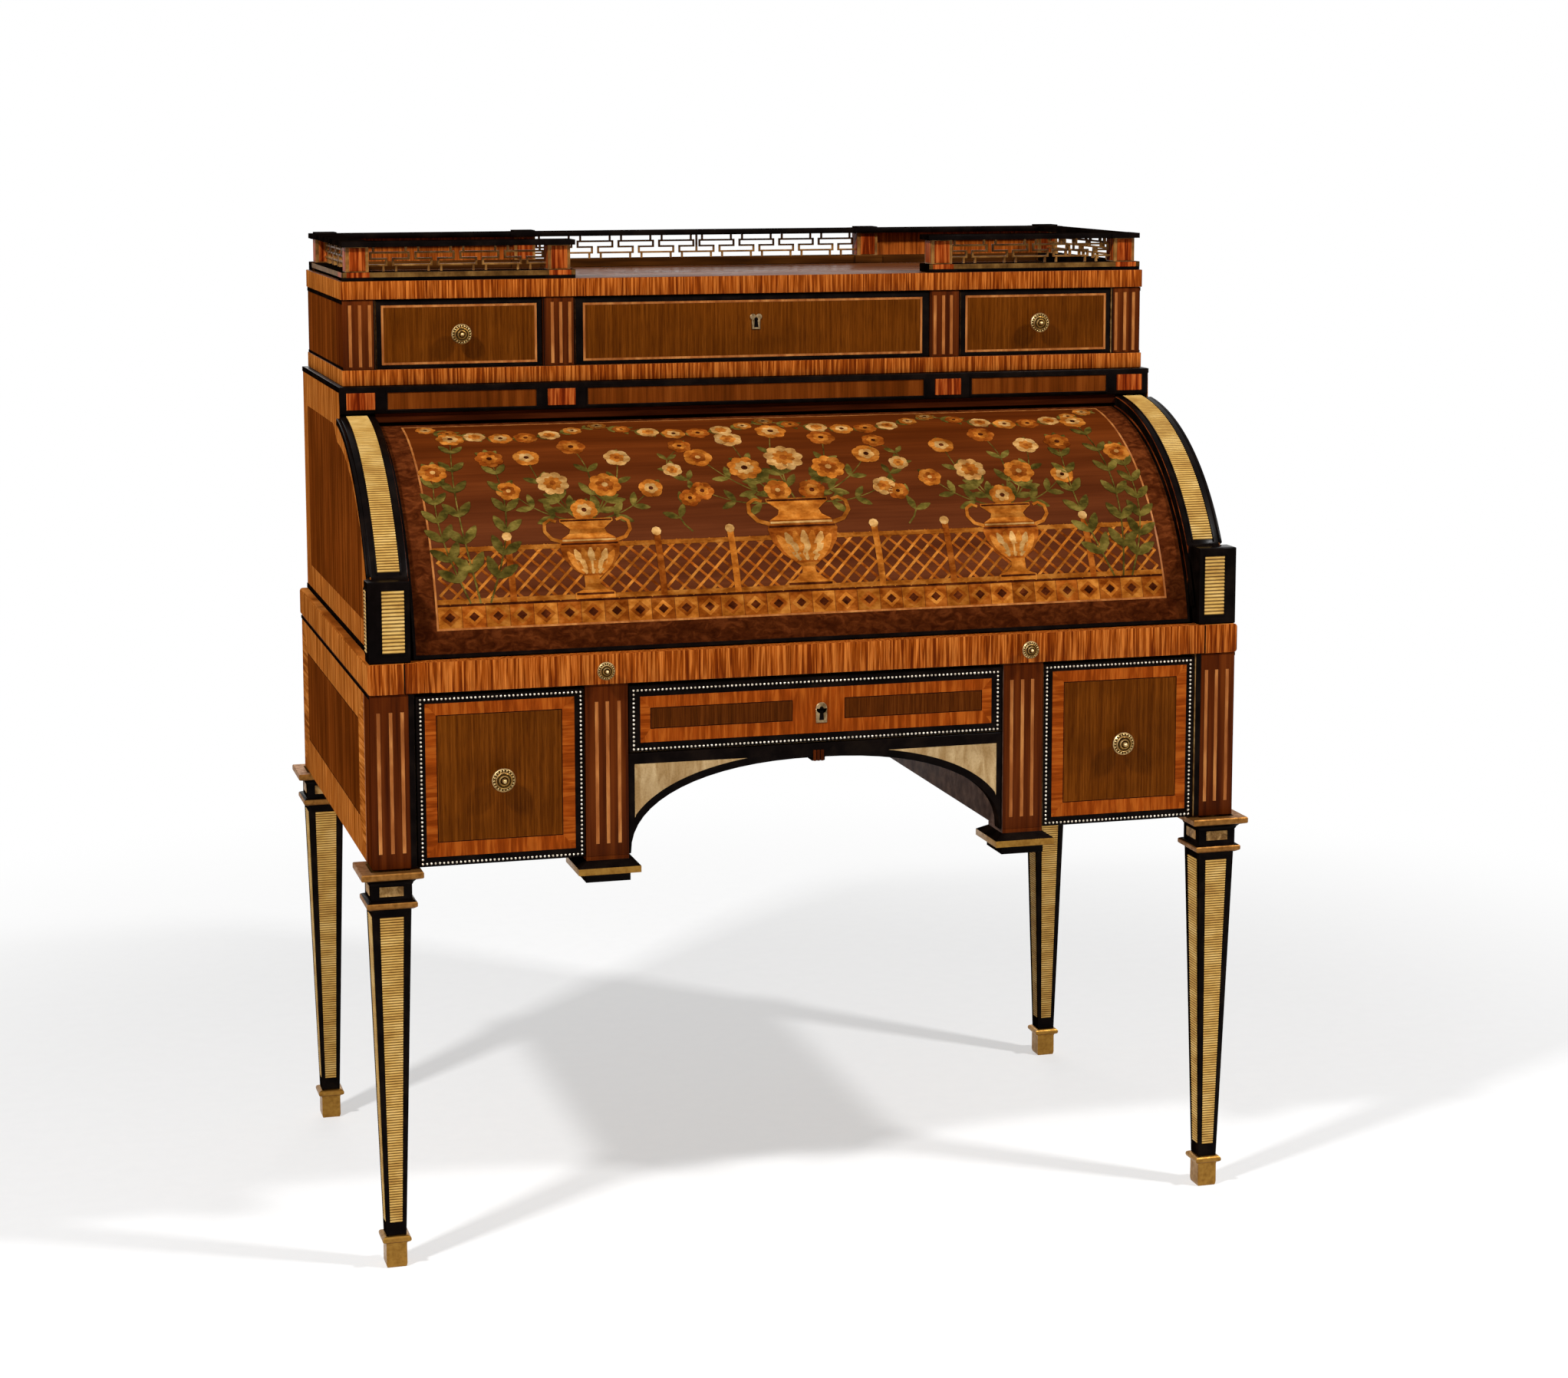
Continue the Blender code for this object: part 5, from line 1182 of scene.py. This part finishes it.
# An urn: (half width, height) steps of its outline from the foot up, bands as height, half width and wood
urnShape = [(0.46, 0.0), (0.46, 0.07), (0.30, 0.10), (0.14, 0.17), (0.12, 0.23), (0.22, 0.27), (0.46, 0.36),
            (0.64, 0.50), (0.70, 0.64), (0.62, 0.74), (0.44, 0.80), (0.40, 0.86), (0.52, 0.92), (0.62, 0.96),
            (0.62, 1.0)]
urnBands = ((0.655, 0.66, rose), (0.70, 0.62, holly), (0.965, 0.60, rose), (0.045, 0.43, rose))
urnHandle = ((0.64, 0.70), (0.86, 0.74), (1.0, 0.84), (0.98, 0.95), (0.84, 1.0), (0.70, 0.97))


def urnOf(bm, x, s, height, half, base=4):
    for (u0, v0), (u1, v1) in zip(urnShape, urnShape[1:]):
        corners = ((-u0, v0), (u0, v0), (u1, v1), (-u1, v1))
        shapeOf(bm, [(x + u * half, s + v * height) for u, v in corners], base,
                satin if 0.27 <= v0 < 0.74 else box)
    for i in range(7):  # gadroons
        share = (i - 3) / 3.5
        root = (x + share * 0.24 * half, s + 0.285 * height)
        leafOf(bm, root, pi / 2 - share * 0.62, 0.34 * height, 0.2 * half, base + 1,
               (box, holly)[i % 2], 0.3)
    for v, u, finish in urnBands:
        low, high, reach = s + v * height, s + (v + 0.022) * height, u * half
        barOf(bm, x - reach, low, 2 * reach, high - low, base + 2, finish)
    for hand in (-1, 1):
        stemOf(bm, [(x + hand * half * u, s + v * height) for u, v in urnHandle], 0.09 * half, base, box, 0.8)


def bouquet(bm, x, s, spread, rise, plan):
    for i, (u, v, size, petals, colours) in enumerate(plan):
        end = (x + u * spread, s + v * rise)
        sprig(bm, bowOf((x + 0.1 * u * spread, s), end, -0.1 if u > 0 else 0.1, 10),
              marquetry["bunchLeaf"], 0, 3)
        blossom(bm, end, size, petals, colours, 2 + i % 2, 0.4 * i)


# One bay of a garden trellis: crossed laths.
def trellis(bm, x, s, width, height, pitch, lath):
    bay = bmesh.new()
    for i in range(1, int((width + height) / pitch) + 1):
        shift = i * pitch - height
        low, high = max(0.0, -shift), min(height, width - shift)
        if high - low > pitch / 4:
            for hand, layer, finish in ((-1, 0, satin), (1, 1, box)):
                ends = [(x + hand * (shift + t - width / 2), s + t) for t in (low, high)]
                stemOf(bay, ends, lath, layer, finish, 1.0)
    gather(bm, bay)


# Bunches: place across and up, size, number of petals and woods of each blossom
warm, pale, deep, gold = (satin, box, rose), (holly, box, satin), (box, satin, holly), (box, holly, rose)
largeBunch = [(0.0, 0.97, 0.0200, 7, gold), (-0.50, 0.84, 0.0180, 6, pale), (0.50, 0.82, 0.0180, 6, warm),
              (-0.90, 0.56, 0.0180, 5, deep), (0.90, 0.54, 0.0180, 5, gold), (-0.96, 0.14, 0.0150, 6, warm),
              (0.97, 0.13, 0.0150, 6, pale), (-0.45, 0.40, 0.0215, 8, gold), (0.44, 0.38, 0.0215, 8, deep),
              (0.0, 0.52, 0.0250, 9, pale), (-0.17, 0.12, 0.0170, 6, deep), (0.19, 0.11, 0.0170, 6, warm)]
smallBunch = [(0.05, 0.96, 0.0180, 6, warm), (-0.58, 0.80, 0.0165, 5, gold), (0.60, 0.76, 0.0165, 6, pale),
              (-0.92, 0.36, 0.0150, 6, deep), (0.93, 0.34, 0.0150, 5, gold), (-0.33, 0.44, 0.0200, 8, pale),
              (0.34, 0.40, 0.0200, 7, deep), (0.0, 0.12, 0.0165, 6, gold)]
sprays = ((0.398, 0.372, 0.215, 0.08, warm), (0.410, 0.412, 0.268, -0.05, gold),
          (0.422, 0.446, 0.190, -0.08, deep))
layout = dict(strip=0.0260, tiles=32, floor=0.0290, fence=0.0720, bays=10, post=0.0080, rail=0.0060,
              lath=0.0032, pitch=0.0206, knob=0.0062, urnX=0.2700, urn=(0.126, 0.064), sideUrn=(0.106, 0.053),
              vineX=0.139, vineStart=0.010, vineStep=0.010, vineWave=0.013, vineLeaf=0.0240, sprayLeaf=0.0330,
              sprayHead=0.0175, swagTop=0.331, swagDrop=0.036, swagLeaf=0.0185, swagSteps=14,
              swagEnds=(-0.444, -0.222, 0.0, 0.222, 0.444))
floor, strip, fence = layout["floor"], layout["strip"], layout["fence"]
bm = bmesh.new()
wide = 2 * fieldHalf / layout["tiles"]
tiles = bmesh.new()
for i in range(layout["tiles"]):  # a strip of lozenge tiles along the foot
    left = -fieldHalf + i * wide
    mid = left + wide / 2
    barOf(tiles, left + 0.0003, 0, wide - 0.0006, strip, 0, (box, satin)[i % 2])
    for size, layer, finish in ((0.42, 1, (satin, box)[i % 2]), (0.22, 2, rose)):
        corners = ((-size, 0), (0, -size), (size, 0), (0, size))
        shapeOf(tiles, [(mid + u * wide, (0.5 + v) * strip) for u, v in corners], layer, finish)
barOf(tiles, -fieldHalf, strip + 0.0004, 2 * fieldHalf, floor - strip - 0.0008, 0, rose)
gather(bm, tiles)
bay = 2 * fieldHalf / layout["bays"]
for i in range(layout["bays"]):  # a low trellis fence behind the urns
    trellis(bm, -fieldHalf + (i + 0.5) * bay, floor, bay - layout["post"], fence, layout["pitch"],
            layout["lath"])
rails = bmesh.new()
for s in (floor, floor + fence - layout["rail"]):
    barOf(rails, -fieldHalf, s, 2 * fieldHalf, layout["rail"], 2, box)
for i in range(1, layout["bays"]):
    x = -fieldHalf + i * bay
    barOf(rails, x - layout["post"] / 2, floor, layout["post"], fence + 0.008, 3, (box, satin)[i % 2])
    dotOf(rails, (x, floor + fence + 0.0125), layout["knob"], 3, holly)
gather(bm, rails)
urnOf(bm, 0.0, floor, *layout["urn"])
bouquet(bm, 0.0, floor + 0.122, 0.122, 0.148, largeBunch)
for side, sign, tag in sides:
    vine = [(sign * (layout["vineX"] + layout["vineWave"] * sin(i * 0.7)),
             floor + fence + layout["vineStart"] + layout["vineStep"] * i) for i in range(16)]
    sprig(bm, vine, layout["vineLeaf"], 0)
    for i, size in ((5, 0.0135), (10, 0.0125), (15, 0.0150)):
        blossom(bm, vine[i], size, 6, (pale, warm)[i % 2], 2, i)
    urnOf(bm, sign * layout["urnX"], floor, *layout["sideUrn"])
    bouquet(bm, sign * layout["urnX"], floor + 0.102, 0.096, 0.142, smallBunch)
    for foot, head, rise, bow, colours in sprays:
        stem = bowOf((sign * foot, floor), (sign * head, floor + rise), bow * sign, 14)
        sprig(bm, stem, layout["sprayLeaf"], 3, 2, 0.66)
        blossom(bm, stem[-1], layout["sprayHead"], 7, colours, 4, foot)
for a, b in zip(layout["swagEnds"], layout["swagEnds"][1:]):  # garlands under the top line
    steps = layout["swagSteps"]
    sags = [sin(pi * i / steps) for i in range(steps + 1)]
    swag = [(a + (b - a) * i / steps, layout["swagTop"] - layout["swagDrop"] * sag)
            for i, sag in enumerate(sags)]
    sprig(bm, swag, layout["swagLeaf"], 0, 1, 0.8)
    for i in range(2, steps - 1, 2):
        blossom(bm, swag[i], 0.0095 + 0.0055 * sags[i], 6, (gold, warm, pale)[i // 2 % 3], 2, i)
    for end in (a, b):
        blossom(bm, (end * 0.985, layout["swagTop"]), 0.0125, 8, gold, 3)
fieldRise = shellRadius * radians(fieldHigh - fieldLow)
for i in range(1, int(fieldRise / marquetry["cut"]) + 1):
    bmesh.ops.bisect_plane(bm, geom=[*bm.verts, *bm.edges, *bm.faces], dist=0.000001,
                           plane_co=(0, i * marquetry["cut"], 0), plane_no=(0, 1, 0))
for vert in bm.verts:
    x, s, t = vert.co
    vert.co = onArc(x, shellRadius + t, fieldLow + degrees(s / shellRadius))
bmesh.ops.recalc_face_normals(bm, faces=bm.faces)
print("marquetry faces", len(bm.faces))
publish("cylinderMarquetry", bm, " ".join(inlayHues), body="cylinder_fall")


# Stage: pale floor, white surroundings, soft lamps
stage = dict(size=9.0, floor=(254, 254, 254), fadeFrom=1.0, fadeTo=2.3, glow=0.5, worldLight=0.15)


def sumOf(tree, first, second, **settings):
    return addNode(tree, "ShaderNodeMath", {0: first, 1: second}, operation="ADD", **settings).outputs[0]


def seenRays(tree):  # camera, glossy and transmission rays
    rays = addNode(tree, "ShaderNodeLightPath").outputs
    direct = sumOf(tree, rays["Is Camera Ray"], rays["Is Glossy Ray"])
    return sumOf(tree, direct, rays["Is Transmission Ray"], use_clamp=True)


bm = bmesh.new()
bmesh.ops.create_grid(bm, x_segments=8, y_segments=8, size=stage["size"])
mesh = bpy.data.meshes.new("studioFloor")
bm.to_mesh(mesh)
bm.free()
floor = bpy.data.objects.new("studioFloor", mesh)
bpy.context.scene.collection.objects.link(floor)
look, tree, shader, coords = startLook("studioPaper")
fibre = noiseOf(tree, coords, (40, 40, 40), 3.0)
paper = tone(stage["floor"])
colour = rampOf(tree, fibre, [(0.3, [0.97 * v for v in paper]), (0.7, paper)])
for key, value in (("Base Color", colour), ("Roughness", 0.8), ("Specular IOR Level", 0.1)):
    plug(tree, value, shader.inputs[key])
away = addNode(tree, "ShaderNodeVectorMath", {0: coords}, operation="LENGTH").outputs["Value"]
fade = remap(tree, away, stage["fadeFrom"], stage["fadeTo"], stage["glow"], interpolation_type="SMOOTHSTEP")
white = addNode(tree, "ShaderNodeEmission", {"Color": (1, 1, 1, 1), "Strength": 1.0})
part = addNode(tree, "ShaderNodeMath", {0: fade, 1: seenRays(tree)}, operation="MULTIPLY")
blend = addNode(tree, "ShaderNodeMixShader", {0: part.outputs[0], 1: shader.outputs[0], 2: white.outputs[0]})
plug(tree, blend.outputs[0], tree.nodes["Material Output"].inputs["Surface"])
floor.data.materials.append(look)

world = bpy.data.worlds.new("studio")
bpy.context.scene.world = world
world.use_nodes = True
tree = world.node_tree
sky = tree.nodes["Background"]
sky.inputs["Color"].default_value = (1, 1, 1, 1)
plug(tree, remap(tree, seenRays(tree), 0.0, 1.0, stage["worldLight"]), sky.inputs["Strength"])

lampTarget = Vector((0, 0, 0.6))
lamps = {"keyLamp": dict(at=(-2.99, -2.25, 4.0), size=0.38, power=186),
         "fillLamp": dict(at=(2.99, -2.25, 4.0), size=0.38, power=162),
         "backLamp": dict(at=(0.4, 4.2, 3.0), size=2.6, power=40)}
for name, lamp in lamps.items():
    data = bpy.data.lights.new(name, "AREA")
    data.size = lamp["size"]
    data.energy = lamp["power"]
    light = bpy.data.objects.new(name, data)
    light.location = lamp["at"]
    light.rotation_euler = (lampTarget - Vector(lamp["at"])).to_track_quat("-Z", "Y").to_euler()
    bpy.context.scene.collection.objects.link(light)

view = dict(at=(-1.057, -3.898, 1.371), azimuth=-15.788, height=7.897, roll=-0.072, lens=71.30, shift=-0.0871)
azimuth, height, roll = (radians(view[key]) for key in ("azimuth", "height", "roll"))
backward = Vector((sin(azimuth) * cos(height), -cos(azimuth) * cos(height), sin(height)))
right = Vector((0, 0, 1)).cross(backward).normalized()
up = backward.cross(right)
across = cos(roll) * right + sin(roll) * up
upward = cos(roll) * up - sin(roll) * right
data = bpy.data.cameras.new("deskView")
data.sensor_width = 36.0
data.lens = view["lens"]
data.shift_y = view["shift"]
camera = bpy.data.objects.new("deskView", data)
turned = Matrix((across, upward, backward)).transposed().to_4x4()
camera.matrix_world = Matrix.Translation(view["at"]) @ turned
bpy.context.scene.collection.objects.link(camera)
bpy.context.scene.camera = camera
bpy.context.scene.view_settings.view_transform = "Standard"
print("stage, lamps and camera set")
